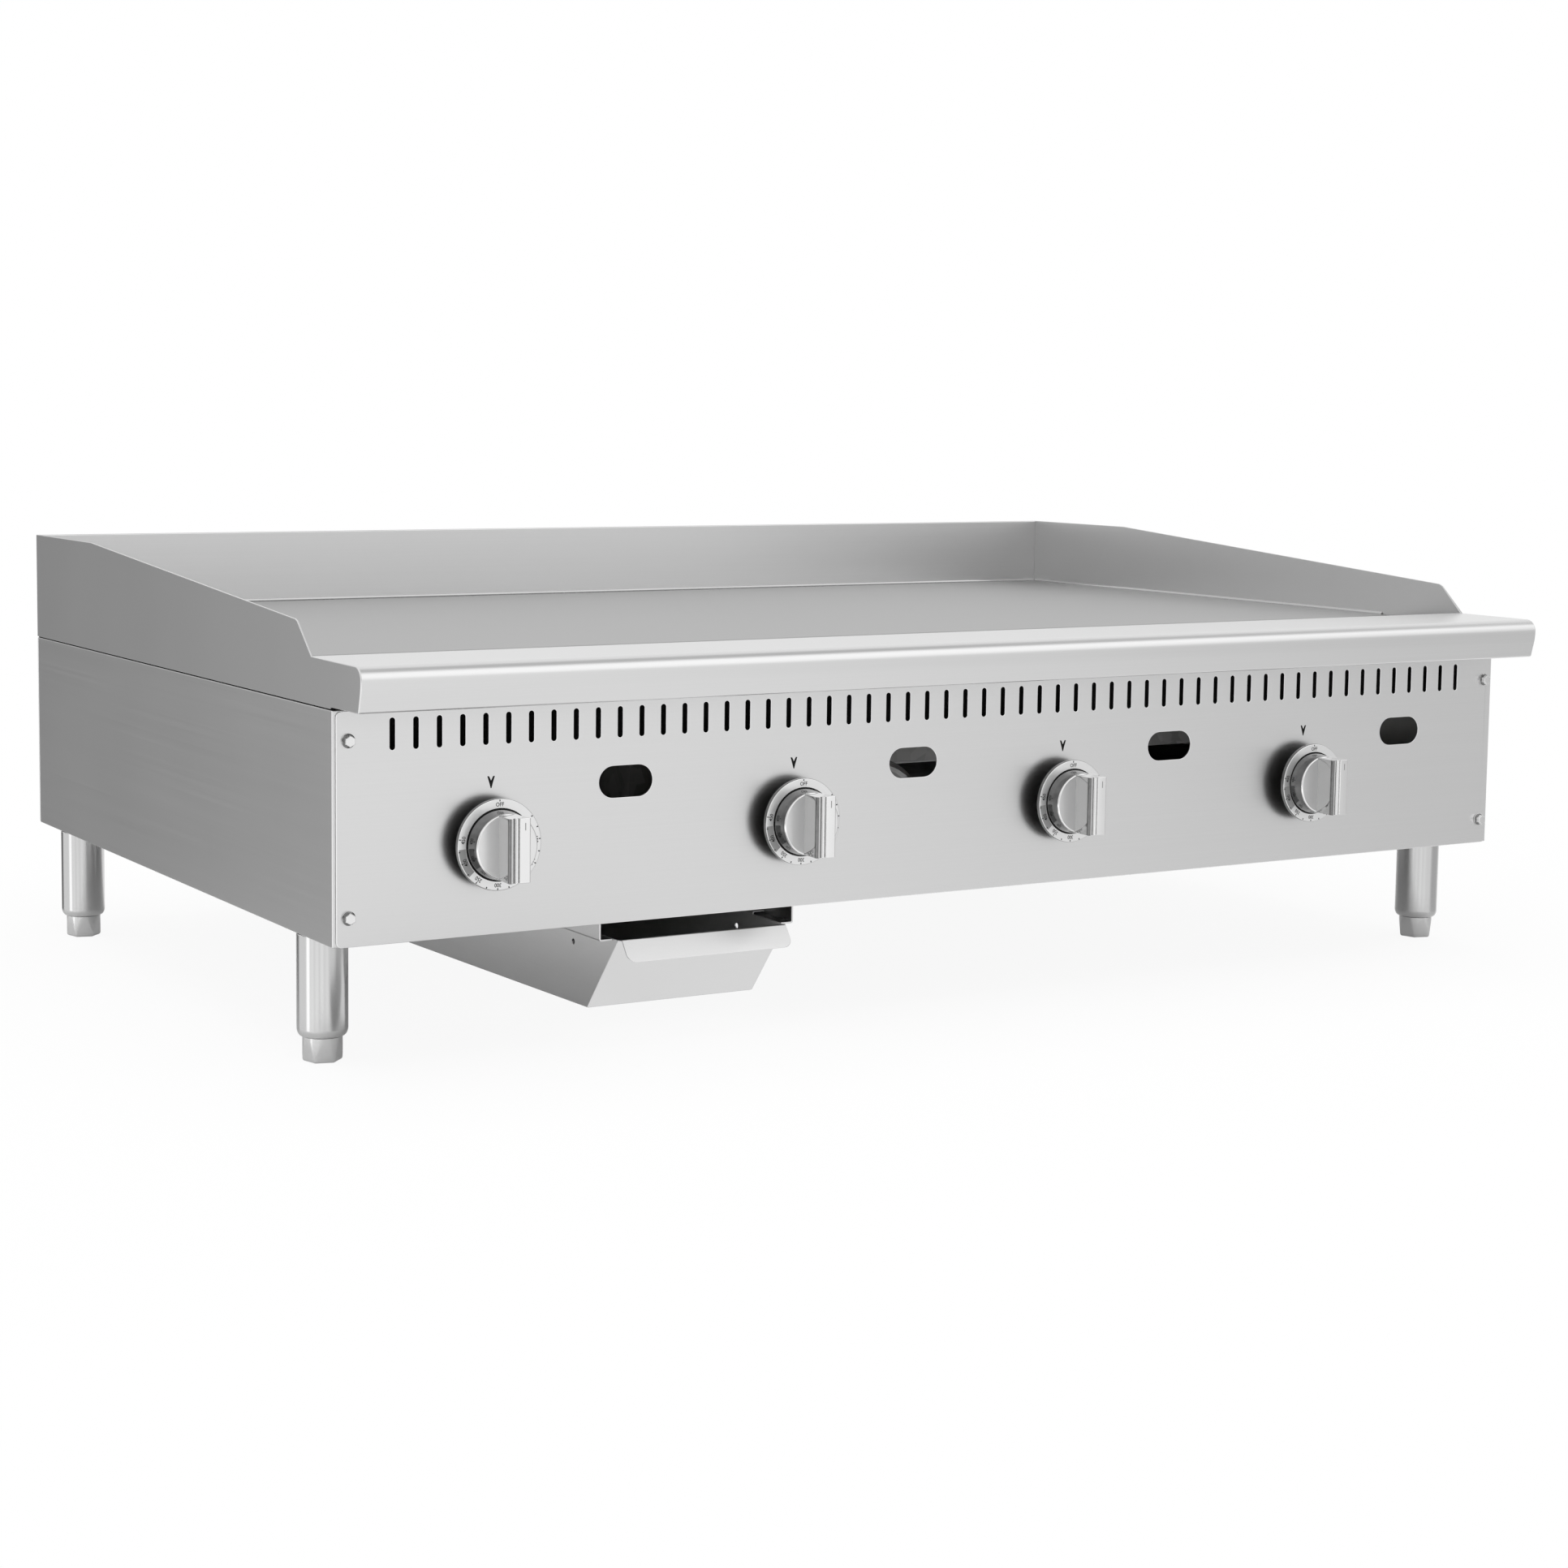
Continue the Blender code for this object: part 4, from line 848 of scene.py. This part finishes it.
# %% Turn the legs
LEG_X = 0.5889
LEG_Y = (FRONT + 0.0715, FRONT + 0.675)
LEG_RADIUS, LEG_BREAK = 0.0205, 0.0006
LEG_TOP = BASE - 0.0005
LEG_END = (0.0041, 0.0068)
FOOT_SHOWING, FOOT_RADIUS = 0.0205, 0.016
STEM_RADIUS, STEM_TOP = 0.0122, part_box("foot_front_left")[1].z
BORE_RADIUS, BORE_TOP = STEM_RADIUS + 0.0008, STEM_TOP + 0.002
ENDS, HANDS = ("front", "rear"), ("left", "right")

leg_profile = [(0.0, LEG_TOP), (LEG_RADIUS - LEG_BREAK, LEG_TOP), (LEG_RADIUS, LEG_TOP - LEG_BREAK)]
leg_profile += arc((LEG_RADIUS - LEG_END[0], FOOT_SHOWING + LEG_END[1]), LEG_END, 0, -90, 9)
leg_profile += [(BORE_RADIUS, FOOT_SHOWING), (BORE_RADIUS, BORE_TOP), (0.0, BORE_TOP)]
leg_mesh = to_mesh("leg", turned(leg_profile, 72))
legs = grown("legs", corner_tree("four_corners"), {
    "Across": 2 * LEG_X, "Up": LEG_Y[1] - LEG_Y[0], "Turn": (0.0, 0.0, 0.0),
    "Place": (0.0, (LEG_Y[0] + LEG_Y[1]) / 2, 0.0), "Finish": shaded_leg_steel}, leg_mesh)
fasten(shade(legs), "cabinet", "stainless", *[f"leg_{end}_{hand}" for end in ENDS for hand in HANDS])

# %% Cut the feet
FLAT_TURN = math.radians(-105.3)
FLAT_RISE = 0.92 * FOOT_SHOWING
SOLE_ROUND = 0.0022
FOOT_STEPS = 96
FOOT_TOP = FOOT_SHOWING - 0.0004
FOOT_HEIGHTS = [0.0, 0.0003, 0.0009, SOLE_ROUND, 0.005, 0.008, 0.011, 0.014, 0.017, FOOT_TOP]
FOOT_TURNS = [2 * math.pi * step / FOOT_STEPS for step in range(FOOT_STEPS)]


def foot_radii(height):
    """One ring of the foot: a circle that six leaning planes cut deeper towards the sole."""
    share = min(max(height / FLAT_RISE, 0.0), 1.0)
    cut = math.cos(math.radians(30))
    flat = FOOT_RADIUS * (cut + (1 - cut) * share)
    below = max(SOLE_ROUND - height, 0.0)
    pinch = SOLE_ROUND - math.sqrt(SOLE_ROUND ** 2 - below ** 2)
    offs = [(turn - FLAT_TURN + math.pi / 6) % (math.pi / 3) - math.pi / 6 for turn in FOOT_TURNS]
    return [min(FOOT_RADIUS, flat / math.cos(off)) - pinch for off in offs]


def foot_mesh(name, x, y):
    levels = [(height, foot_radii(height)) for height in FOOT_HEIGHTS]
    levels += [(height, [STEM_RADIUS] * FOOT_STEPS) for height in (FOOT_TOP, STEM_TOP)]
    foot = bmesh.new()
    rings = [[foot.verts.new((x + radius * math.cos(turn), y + radius * math.sin(turn), height))
              for radius, turn in zip(radii, FOOT_TURNS)] for height, radii in levels]
    for lower, upper in zip(rings, rings[1:]):
        for s in range(FOOT_STEPS):
            after = (s + 1) % FOOT_STEPS
            foot.faces.new((lower[s], lower[after], upper[after], upper[s]))
    foot.faces.new(list(reversed(rings[0])))
    foot.faces.new(rings[-1])
    return to_mesh(name, foot, foot_chrome)


for end, y in zip(ENDS, LEG_Y):
    for hand, x in zip(HANDS, (-LEG_X, LEG_X)):
        name = f"levelling_foot_{end}_{hand}"
        foot = shade(new_piece(name, foot_mesh(name, x, y)), 14)
        fasten(foot, f"{end}_{hand}_foot", "foot_chrome", f"foot_{end}_{hand}")

# %% [markdown]
# ## The knobs
#
# Each knob is a satin ring with the temperatures, a raised chrome disc and an upright grip bar. The
# ring and disc are turned from one profile. The grip is a cross-section with beads, grooves and a
# flat face, pulled out to its height. The print is real text made into thin meshes; its ticks come
# from a Geometry Nodes tree that turns one tick step by step round the dial.

# %% Turn the dials
FACING_FRONT = Matrix.Rotation(math.pi / 2, 4, "X")
DIAL_OUTER, DIAL_INNER = 0.0365, 0.0292
DIAL_FACE, DISC_FACE, GRIP_FACE = 0.0160, 0.0300, 0.0519
DISC_RADIUS, DISC_ROUND, RING_ROUND = 0.0265, 0.0014, 0.0008
HUB_RADIUS, HUB_BACK = 0.0130, 0.0035
KNOB_BACK_SHADE_BELOW = 0.0122

dial_profile = [(0.0, DISC_FACE), (DISC_RADIUS - DISC_ROUND, DISC_FACE)]
dial_profile += arc((DISC_RADIUS - DISC_ROUND, DISC_FACE - DISC_ROUND), DISC_ROUND, 90, 8, 5)[1:]
dial_profile += [(0.0283, DIAL_FACE - 0.0006), (0.0287, DIAL_FACE - 0.0010),
                 (DIAL_INNER - 0.0002, DIAL_FACE - 0.0008), (DIAL_INNER, DIAL_FACE),
                 (DIAL_OUTER - RING_ROUND, DIAL_FACE)]
dial_profile += arc((DIAL_OUTER - RING_ROUND, DIAL_FACE - RING_ROUND), RING_ROUND, 90, 0, 4)[1:]
dial_profile += [(DIAL_OUTER, 0.0125), (DIAL_OUTER - 0.0030, 0.0110), (HUB_RADIUS, 0.0100),
                 (HUB_RADIUS, HUB_BACK), (0.0, HUB_BACK)]


def dial_mesh(name, place):
    """A dial with a chrome rim, a satin ring and face, a back painted black and a wall painted dark, both as
    shade.
    """
    mesh = to_mesh(name, turned(dial_profile, 96), chrome, dial_satin, knob_back_shade, recess_shade_chrome)
    for face in mesh.polygons:
        radius, z = math.hypot(face.center.x, face.center.y), face.center.z
        satin = z > DISC_FACE - NEAR or (radius > DIAL_INNER - NEAR and z > DIAL_FACE - 0.0002)
        on_wall = radius > DISC_RADIUS - 0.0002 and z < DISC_FACE - DISC_ROUND
        face.material_index = 1 if satin else 2 if z < KNOB_BACK_SHADE_BELOW else 3 if on_wall else 0
    mesh.transform(place @ FACING_FRONT)
    return mesh


print(f"dial profile of {len(dial_profile)} points")

# %% Shape the grips
GRIP_TALL, GRIP_EDGE = 0.0255, 0.0005
GRIP_SIDE, GRIP_FOOT, GRIP_SHOULDER = 0.0074, DISC_FACE - 0.0008, GRIP_FACE - 0.0036
GROOVE = GRIP_FACE - 0.0022

grip_line = [(-GRIP_SIDE, GRIP_FOOT), (-0.0090, GRIP_SHOULDER)]
grip_line += arc((-0.0071, GRIP_FACE - 0.0026), (0.0021, 0.0026), 170, 20, 10)
grip_line += [(-0.0047, GROOVE), (-0.0032, GROOVE)]
grip_line += arc((-0.0020, GRIP_FACE - 0.0013), 0.0009, 165, 15, 5)
grip_line += [(-0.0010, GROOVE), (-0.0003, GROOVE), (-0.0001, GRIP_FACE)]
grip_line += arc((0.0081, GRIP_FACE - 0.0012), 0.0012, 90, 10, 4) + [(GRIP_SIDE, GRIP_FOOT)]


def grip_mesh(name, place):
    """A grip with grooves and flank painted dark and sides painted darker chrome, all as shade."""
    grip = bmesh.new()
    section = grip.faces.new([grip.verts.new((x, -GRIP_TALL, z)) for x, z in grip_line])
    pulled = bmesh.ops.extrude_face_region(grip, geom=[section])["geom"]
    move_new(grip, pulled, (0, 2 * GRIP_TALL, 0))
    bmesh.ops.recalc_face_normals(grip, faces=grip.faces)
    mesh = to_mesh(name, grip, chrome, recess_shade_chrome, chrome_grip_shade_and_weld)
    for face in mesh.polygons:
        x, z = face.center.x, face.center.z
        in_groove = abs(z - GROOVE) < NEAR and face.normal.z > 0.5
        on_flank = x < -GRIP_SIDE and z > GRIP_SHOULDER
        on_side = abs(x) > 0.0070 and z < GRIP_SHOULDER
        face.material_index = 1 if in_groove or on_flank else 2 if on_side else 0
    mesh.transform(place @ FACING_FRONT)
    return mesh


print(f"grip section of {len(grip_line)} points")

# %% Printing helpers
FIRST_MARK, MARK_STEP, MARKS = 80.0, 16.2, 15
LETTERING = [("OFF", 0.0)] + [(str(450 - 50 * k), FIRST_MARK + 2 * MARK_STEP * k) for k in range(7)]
LETTER_TALL, LETTER_RING, INK = 0.0032, 0.0321, 0.00006


def tick_tree():
    """Turns the input tick round the dial, step by step."""
    graph, given = new_tree("dial_ticks", {"Tick": "Geometry", "Count": "Int", "First": "Float",
                                           "Step": "Float", "Finish": "Material"})
    points = graph.node("GeometryNodeMeshLine", inputs={"Count": given["Count"], "Offset": (0.0, 0.0, 0.0)})
    index = graph.node("GeometryNodeInputIndex")
    turn = graph.node("ShaderNodeCombineXYZ", inputs={2: given["First"] + given["Step"] * index})
    ticks = graph.node("GeometryNodeInstanceOnPoints", inputs={
        "Points": points, "Instance": given["Tick"], "Rotation": turn})
    return end_tree(graph, ticks, given["Finish"])


def bar(left, low, right, high):
    """The corners of an upright bar."""
    return [(left, low), (right, low), (right, high), (left, high)]


def ink_block(print_work, corners, height):
    """A thin printed shape on the dial, from its outline."""
    outline = print_work.faces.new([print_work.verts.new((x, y, height)) for x, y in corners])
    raised = bmesh.ops.extrude_face_region(print_work, geom=[outline])["geom"]
    move_new(print_work, raised, (0, 0, INK))


def lettering(body, angle):
    """One word, centred on the ring with its top outwards."""
    curve = bpy.data.curves.new("word", "FONT")
    curve.body = body
    curve.align_x = "CENTER"
    curve.resolution_u = 3
    curve.offset = 0.012
    word = new_piece("word", curve)
    mesh = bpy.data.meshes.new_from_object(word)
    bpy.data.objects.remove(word)
    size = LETTER_TALL / max(v.co.y for v in mesh.vertices)
    shift = Matrix.Translation((0, LETTER_RING - LETTER_TALL / 2, DIAL_FACE + INK))
    turn = Matrix.Rotation(math.radians(angle), 4, "Z")
    mesh.transform(turn @ shift @ Matrix.Diagonal((size * 0.9, size, 1, 1)))
    return mesh


print(f"{len(LETTERING)} words and {MARKS} ticks to print")

# %% Print the dials
TICK = bar(-0.00045, 0.0344, 0.00045, 0.0358)
INDEX_MARK = bar(0.0042, 0.0160, 0.0050, 0.0218)
SECTOR = arc((0, 0), 0.0356, 183, 222, 12) + arc((0, 0), DIAL_INNER + 0.0004, 222, 183, 12)

tick = bmesh.new()
ink_block(tick, TICK, DIAL_FACE)
ticks = grown("dial_ticks", tick_tree(), {
    "Count": MARKS, "First": math.radians(FIRST_MARK), "Step": math.radians(MARK_STEP),
    "Finish": black_print}, to_mesh("tick", tick))
dial_print = bmesh.new()
dial_print.from_mesh(ticks.data)
ink_block(dial_print, TICK, DIAL_FACE)
for body, angle in LETTERING:
    word_mesh = lettering(body, angle)
    dial_print.from_mesh(word_mesh)
    bpy.data.meshes.remove(word_mesh)
for face in dial_print.faces:
    face.material_index = 0
before = set(dial_print.faces)
ink_block(dial_print, SECTOR, DIAL_FACE - 0.00002)
ink_block(dial_print, INDEX_MARK, GRIP_FACE)
for face in set(dial_print.faces) - before:
    face.material_index = 1
print_mesh = to_mesh("dial_print", dial_print, black_print, dial_grey)
bpy.data.objects.remove(ticks)
print(f"dial print: {len(print_mesh.polygons)} faces")

# %% Set the four knobs
for number, x in enumerate(KNOB_X, start=1):
    place = Matrix.Translation((x, FRONT, KNOB_Z))
    body = f"control_{number}"
    dial = shade(new_piece(f"dial_{number}", dial_mesh(f"dial_{number}", place)), 30)
    fasten(dial, body, "knob_chrome", f"knob_{number}")
    grip = new_piece(f"grip_{number}", grip_mesh(f"grip_{number}", place))
    shade(bake(deburr(grip, GRIP_EDGE, 2)), 30)
    fasten(grip, body, "knob_chrome")
    marks_mesh = print_mesh.copy()
    marks_mesh.transform(place @ FACING_FRONT)
    fasten(new_piece(f"dial_print_{number}", marks_mesh), body, "knob_chrome")

# %% [markdown]
# ## Pointers and bolts
#
# A printed dart above each knob shows where the dial is read. Four flanged hex bolts hold the panel.
# Both repeat, so one dart is set along a row and one bolt at four corners with Geometry Nodes.

# %% Print the pointers
POINTER_Z = BASE + 0.1218
HALF_DART = [(0.0004, -0.0049), (0.0014, -0.0012), (0.0033, 0.0047), (0.0018, 0.0047)]
NOTCH = (0, 0.0012)


def row_tree(name):
    """Sets the input mesh along a row in X."""
    graph, given = new_tree(name, {"Piece": "Geometry", "Count": "Int", "Pitch": "Float", "Start": "Vector",
                                   "Finish": "Material"})
    copies = copies_in_row(graph, given["Piece"], given["Count"], given["Pitch"], given["Start"])
    return end_tree(graph, copies, given["Finish"])


dart = bmesh.new()
ink_block(dart, HALF_DART + [NOTCH] + [(-x, y) for x, y in reversed(HALF_DART)], 0.0)
dart_mesh = to_mesh("dart", dart)
dart_mesh.transform(FACING_FRONT)
pointers = grown("pointers", row_tree("row_of_pointers"), {
    "Count": KNOBS, "Pitch": KNOB_PITCH, "Start": (KNOB_X[0], FRONT, POINTER_Z),
    "Finish": black_print}, dart_mesh)
fasten(pointers, "cabinet", "stainless")

# %% Turn the bolts
HEAD_RADIUS, HEAD_LOW, HEAD_HIGH = 0.0045, 0.001, 0.0060
CROWN_ROUND = 0.0007
DISH_RADIUS, DISH_LOW, DISH_HIGH = 0.0054, 0.0012, 0.0019
FLANGE_PROFILE = [(0.0, 0.0018), (0.0046, 0.0018), (0.0056, 0.0012), (0.0058, 0.0007), (0.0058, 0.0002),
                  (0.0030, 0.0002), (0.0030, -0.0080), (0.0, -0.0080)]

bolt = turned(FLANGE_PROFILE, 36)
head = bmesh.ops.create_cone(bolt, cap_ends=True, segments=6, radius1=HEAD_RADIUS, radius2=HEAD_RADIUS,
                             depth=HEAD_HIGH - HEAD_LOW,
                             matrix=Matrix.Translation((0, 0, (HEAD_LOW + HEAD_HIGH) / 2)))
crown = [e for e in bolt.edges if all(v in head["verts"] and v.co.z > HEAD_HIGH - NEAR for v in e.verts)]
round_off(bolt, crown, CROWN_ROUND, 3)
bolt_mesh = to_mesh("bolt", bolt)
bolt_mesh.transform(FACING_FRONT)
bolts = grown("panel_bolts", corner_tree("four_bolts"), {
    "Across": 2 * BOLT_X, "Up": BOLT_HIGH - BOLT_LOW, "Turn": (math.pi / 2, 0.0, 0.0),
    "Place": (0.0, FRONT, (BOLT_LOW + BOLT_HIGH) / 2), "Finish": zinc}, bolt_mesh)
# The dish under each bolt head is painted dark as shade.
bolts.data.materials.append(recess_shade_chrome)
for face in bolts.data.polygons:
    rise = min(abs(face.center.z - BOLT_LOW), abs(face.center.z - BOLT_HIGH))
    in_dish = math.hypot(abs(face.center.x) - BOLT_X, rise) < DISH_RADIUS
    if in_dish and DISH_LOW < FRONT - face.center.y < DISH_HIGH and face.normal.y < -0.3:
        face.material_index = len(bolts.data.materials) - 1
fasten(shade(bolts, 25), "cabinet", "zinc",
       *[f"panel_bolt_{end}_{hand}" for end in ("lower", "upper") for hand in HANDS])

# %% [markdown]
# ## Finishes for the CAD nodes that stay
#
# What sits inside the body keeps its CAD shape, and gets a procedural finish in place of the flat
# CAD colour. The name of each node starts with what it is, so one table of beginnings is enough.
# The trough is bright inside and painted near-black outside as shade, so what shows through the slots stays
# dark.

# %% Dress the inner nodes
# The near-black outside is painted shade.
TROUGH_PATCH_SCALE, TROUGH_STEP = 40.0, (0.0004, 0.0009)
trough_shaded_outside, graph = new_finish("stainless_trough_painted_shade_outside")
place = graph.place()
trough_patches = graph.noise(place, TROUGH_PATCH_SCALE)
trough_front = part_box("grease_trough")[0].y
inside = graph.smooth(graph.axis(place, "Y"), *[trough_front + step for step in TROUGH_STEP])
outer_shade_tone = graph.blend(trough_patches, grey(0.010), grey(0.022))
inner_tone = graph.blend(trough_patches, grey(0.64), grey(0.70))
colour = graph.blend(inside, outer_shade_tone, inner_tone)
metal_output(graph, colour, 0.42 + 0.1 * trough_patches, trough_patches, 0.00005, 0.1, inside, 0.1)

INNER_FINISHES = {
    "bottom_pan": galvanised, "plate_bearer": galvanised, "burner_rest": galvanised, "leg_plate": galvanised,
    "grease_trough": trough_shaded_outside, "grease_chute": galvanised, "burner": burner_steel,
    "gas_manifold": black_pipe, "gas_inlet": black_pipe, "gas_tube": aluminium, "pilot": brass,
    "thermostat_valve": brass, "valve_stem": zinc,
}
dressed_count = 0
for name, node in cad_nodes.items():
    for beginning, finish in INNER_FINISHES.items():
        if name.startswith(beginning):
            node.data.materials.clear()
            node.data.materials.append(finish)
            dressed_count += 1
            break
print(f"{dressed_count} CAD nodes dressed")

# %% [markdown]
# ## The studio
#
# A product photographer puts metal in a white tent and then changes the white in places: dark cards
# outside the picture give the flat sides their grey, and bright ones give bends and legs their lights.
# Here the world is that tent. It is white to the camera; in reflections it has soft darker and lighter
# patches, each at one direction. The floor is white to the camera too, with the griddle's own shadow in
# it. Mirror rays look through it, except under the body, where they meet the shadow, below the drawer,
# which a bright patch lights, and at a dark strip before the left front leg.

# %% Light the world
def towards(azimuth, elevation):
    """A direction from its compass angle, counted from +X, and its height above the horizon."""
    a, e = math.radians(azimuth), math.radians(elevation)
    return (math.cos(a) * math.cos(e), math.sin(a) * math.cos(e), math.sin(e))


# Direction, reach and soft edge in degrees, and the change of the white there
CARDS = [
    ((96, -6), 9, 24, -0.85),
    ((340, -4), 20, 20, -0.40),
    ((350, 60), 8, 16, -0.45),
    ((228, 9), 10, 6, -0.55),
    ((311, 31), 22, 4, 0.40),
    ((181, -12), 2, 9, 0.90),
    ((202, -20), 9, 4, 0.28),
    ((224, -20), 9, 4, 0.30),
    ((246, -20), 9, 4, 0.30),
    ((268, -20), 9, 4, 0.20),
]
TENT_FOR_DIFFUSE = 0.75

world = bpy.data.worlds.new("white_tent")
world.use_nodes = True
world.node_tree.nodes.clear()
tent = Graph(world.node_tree)
direction = tent.node("ShaderNodeTexCoord", output="Generated")
reflected = 1.0
for (azimuth, elevation), reach, edge, change in CARDS:
    closeness = tent.node("ShaderNodeVectorMath", {"operation": "DOT_PRODUCT"},
                          {0: direction, 1: towards(azimuth, elevation)}, output="Value")
    card = tent.smooth(closeness, math.cos(math.radians(reach + edge)), math.cos(math.radians(reach)))
    reflected = (1.0 + change * card) * reflected
plain = tent.ray("Camera") + tent.ray("Transmission")
mirror_ray = tent.ray("Glossy")
strength = plain + mirror_ray * reflected + (1.0 - plain - mirror_ray) * TENT_FOR_DIFFUSE
background = tent.node("ShaderNodeBackground", inputs={"Color": grey(1.0), "Strength": strength})
tent.node("ShaderNodeOutputWorld", inputs={"Surface": background})
bpy.context.scene.world = world
print(f"white tent with {len(CARDS)} cards")

# %% Paint the floor
# Soft steps on the floor: the first two in half sizes of the body, the others in metres
BEYOND, FAR = (0.95, 1.25), (1.1, 2.4)
BESIDE_DRAWER, BEFORE_DRAWER = (0.18, 0.12), (-0.260, -0.285)
STRIP_BACK, STRIP_FRONT = (-0.36, -0.42), (-0.66, -0.56)
STRIP_LEFT, STRIP_RIGHT = (-0.58, -0.52), (-0.20, -0.30)
STRIP_DARKNESS = 0.60

floor_material, ground = new_finish("white_floor")
place = ground.place()
matte = ground.node("ShaderNodeBsdfDiffuse", inputs={"Color": grey(0.90)})
glow = ground.node("ShaderNodeEmission", inputs={"Color": grey(1.0), "Strength": 1.0})
dark = ground.node("ShaderNodeBsdfDiffuse", inputs={"Color": grey(0.01)})
clear = ground.node("ShaderNodeBsdfTransparent")
seen, mirrored = ground.ray("Camera"), ground.ray("Glossy")
scaled = ground.node("ShaderNodeVectorMath", {"operation": "MULTIPLY"},
                     {0: place, 1: (1 / HALF, 1 / BACK, 0.0)})
outward = ground.node("ShaderNodeVectorMath", {"operation": "ABSOLUTE"}, {0: scaled})
from_body = ground.node("ShaderNodeMath", {"operation": "MAXIMUM"},
                        {0: ground.axis(outward, "X"), 1: ground.axis(outward, "Y")})
sideways, forward = ground.axis(place, "X"), ground.axis(place, "Y")
from_drawer = ground.node("ShaderNodeMath", {"operation": "ABSOLUTE"}, {0: sideways - DRAWER_X})
bounce = ground.smooth(from_drawer, *BESIDE_DRAWER) * ground.smooth(forward, *BEFORE_DRAWER)
strip = ground.smooth(forward, *STRIP_BACK) * ground.smooth(forward, *STRIP_FRONT)
strip = strip * ground.smooth(sideways, *STRIP_LEFT) * ground.smooth(sideways, *STRIP_RIGHT)
glow_share = seen * (0.92 + 0.08 * ground.smooth(from_body, *FAR)) + mirrored * (0.12 + 0.83 * bounce)
shown = ground.mix(glow_share, matte, glow)
shown = ground.mix(mirrored * strip * STRIP_DARKNESS, shown, dark)
surface = ground.mix(mirrored * ground.smooth(from_body, *BEYOND) * (1.0 - strip), shown, clear)
ground.node("ShaderNodeOutputMaterial", inputs={"Surface": surface})
print(f"floor finish of {len(floor_material.node_tree.nodes)} nodes")

# %% Lay the floor
FLOOR_REACH, FLOOR_DROP = 8.0, 0.0003
floor_mesh = bmesh.new()
bmesh.ops.create_grid(floor_mesh, x_segments=1, y_segments=1, size=FLOOR_REACH)
floor = new_piece("floor", to_mesh("floor", floor_mesh, floor_material))
floor.location.z = -FLOOR_DROP
print(f"floor {2 * FLOOR_REACH} m wide")

# %% Hang the lamp
lamp = bpy.data.lights.new("overhead_softbox", "AREA")
lamp.shape = "RECTANGLE"
lamp.size = 3.2
lamp.size_y = 2.4
lamp.energy = 34.0
softbox = bpy.data.objects.new("overhead_softbox", lamp)
softbox.location = (-0.3, -0.5, 2.6)
softbox.visible_glossy = False
bpy.context.scene.collection.objects.link(softbox)
print(f"softbox {lamp.size} by {lamp.size_y} m at {lamp.energy} W")

# %% [markdown]
# ## The camera
#
# The place and the lens come from solving the picture: the width of the griddle is known, and the
# points of its corners fix where the camera stood. The shift keeps the same crop as the picture.

# %% Place the camera
camera_data = bpy.data.cameras.new("product_view")
camera_data.lens = 65.26
camera_data.sensor_width = 36.0
camera_data.shift_x = 0.0497
camera_data.shift_y = -0.0600
camera_data.clip_start = 0.05
camera = bpy.data.objects.new("product_view", camera_data)
camera.location = (-1.4493, -2.3479, 0.5226)
camera.rotation_euler = [math.radians(angle) for angle in (84.272, -0.604, -30.221)]
bpy.context.scene.collection.objects.link(camera)
bpy.context.scene.camera = camera
bpy.context.scene.view_settings.view_transform = "Standard"
print(f"camera {camera.location.length:.2f} m from the middle of the floor")
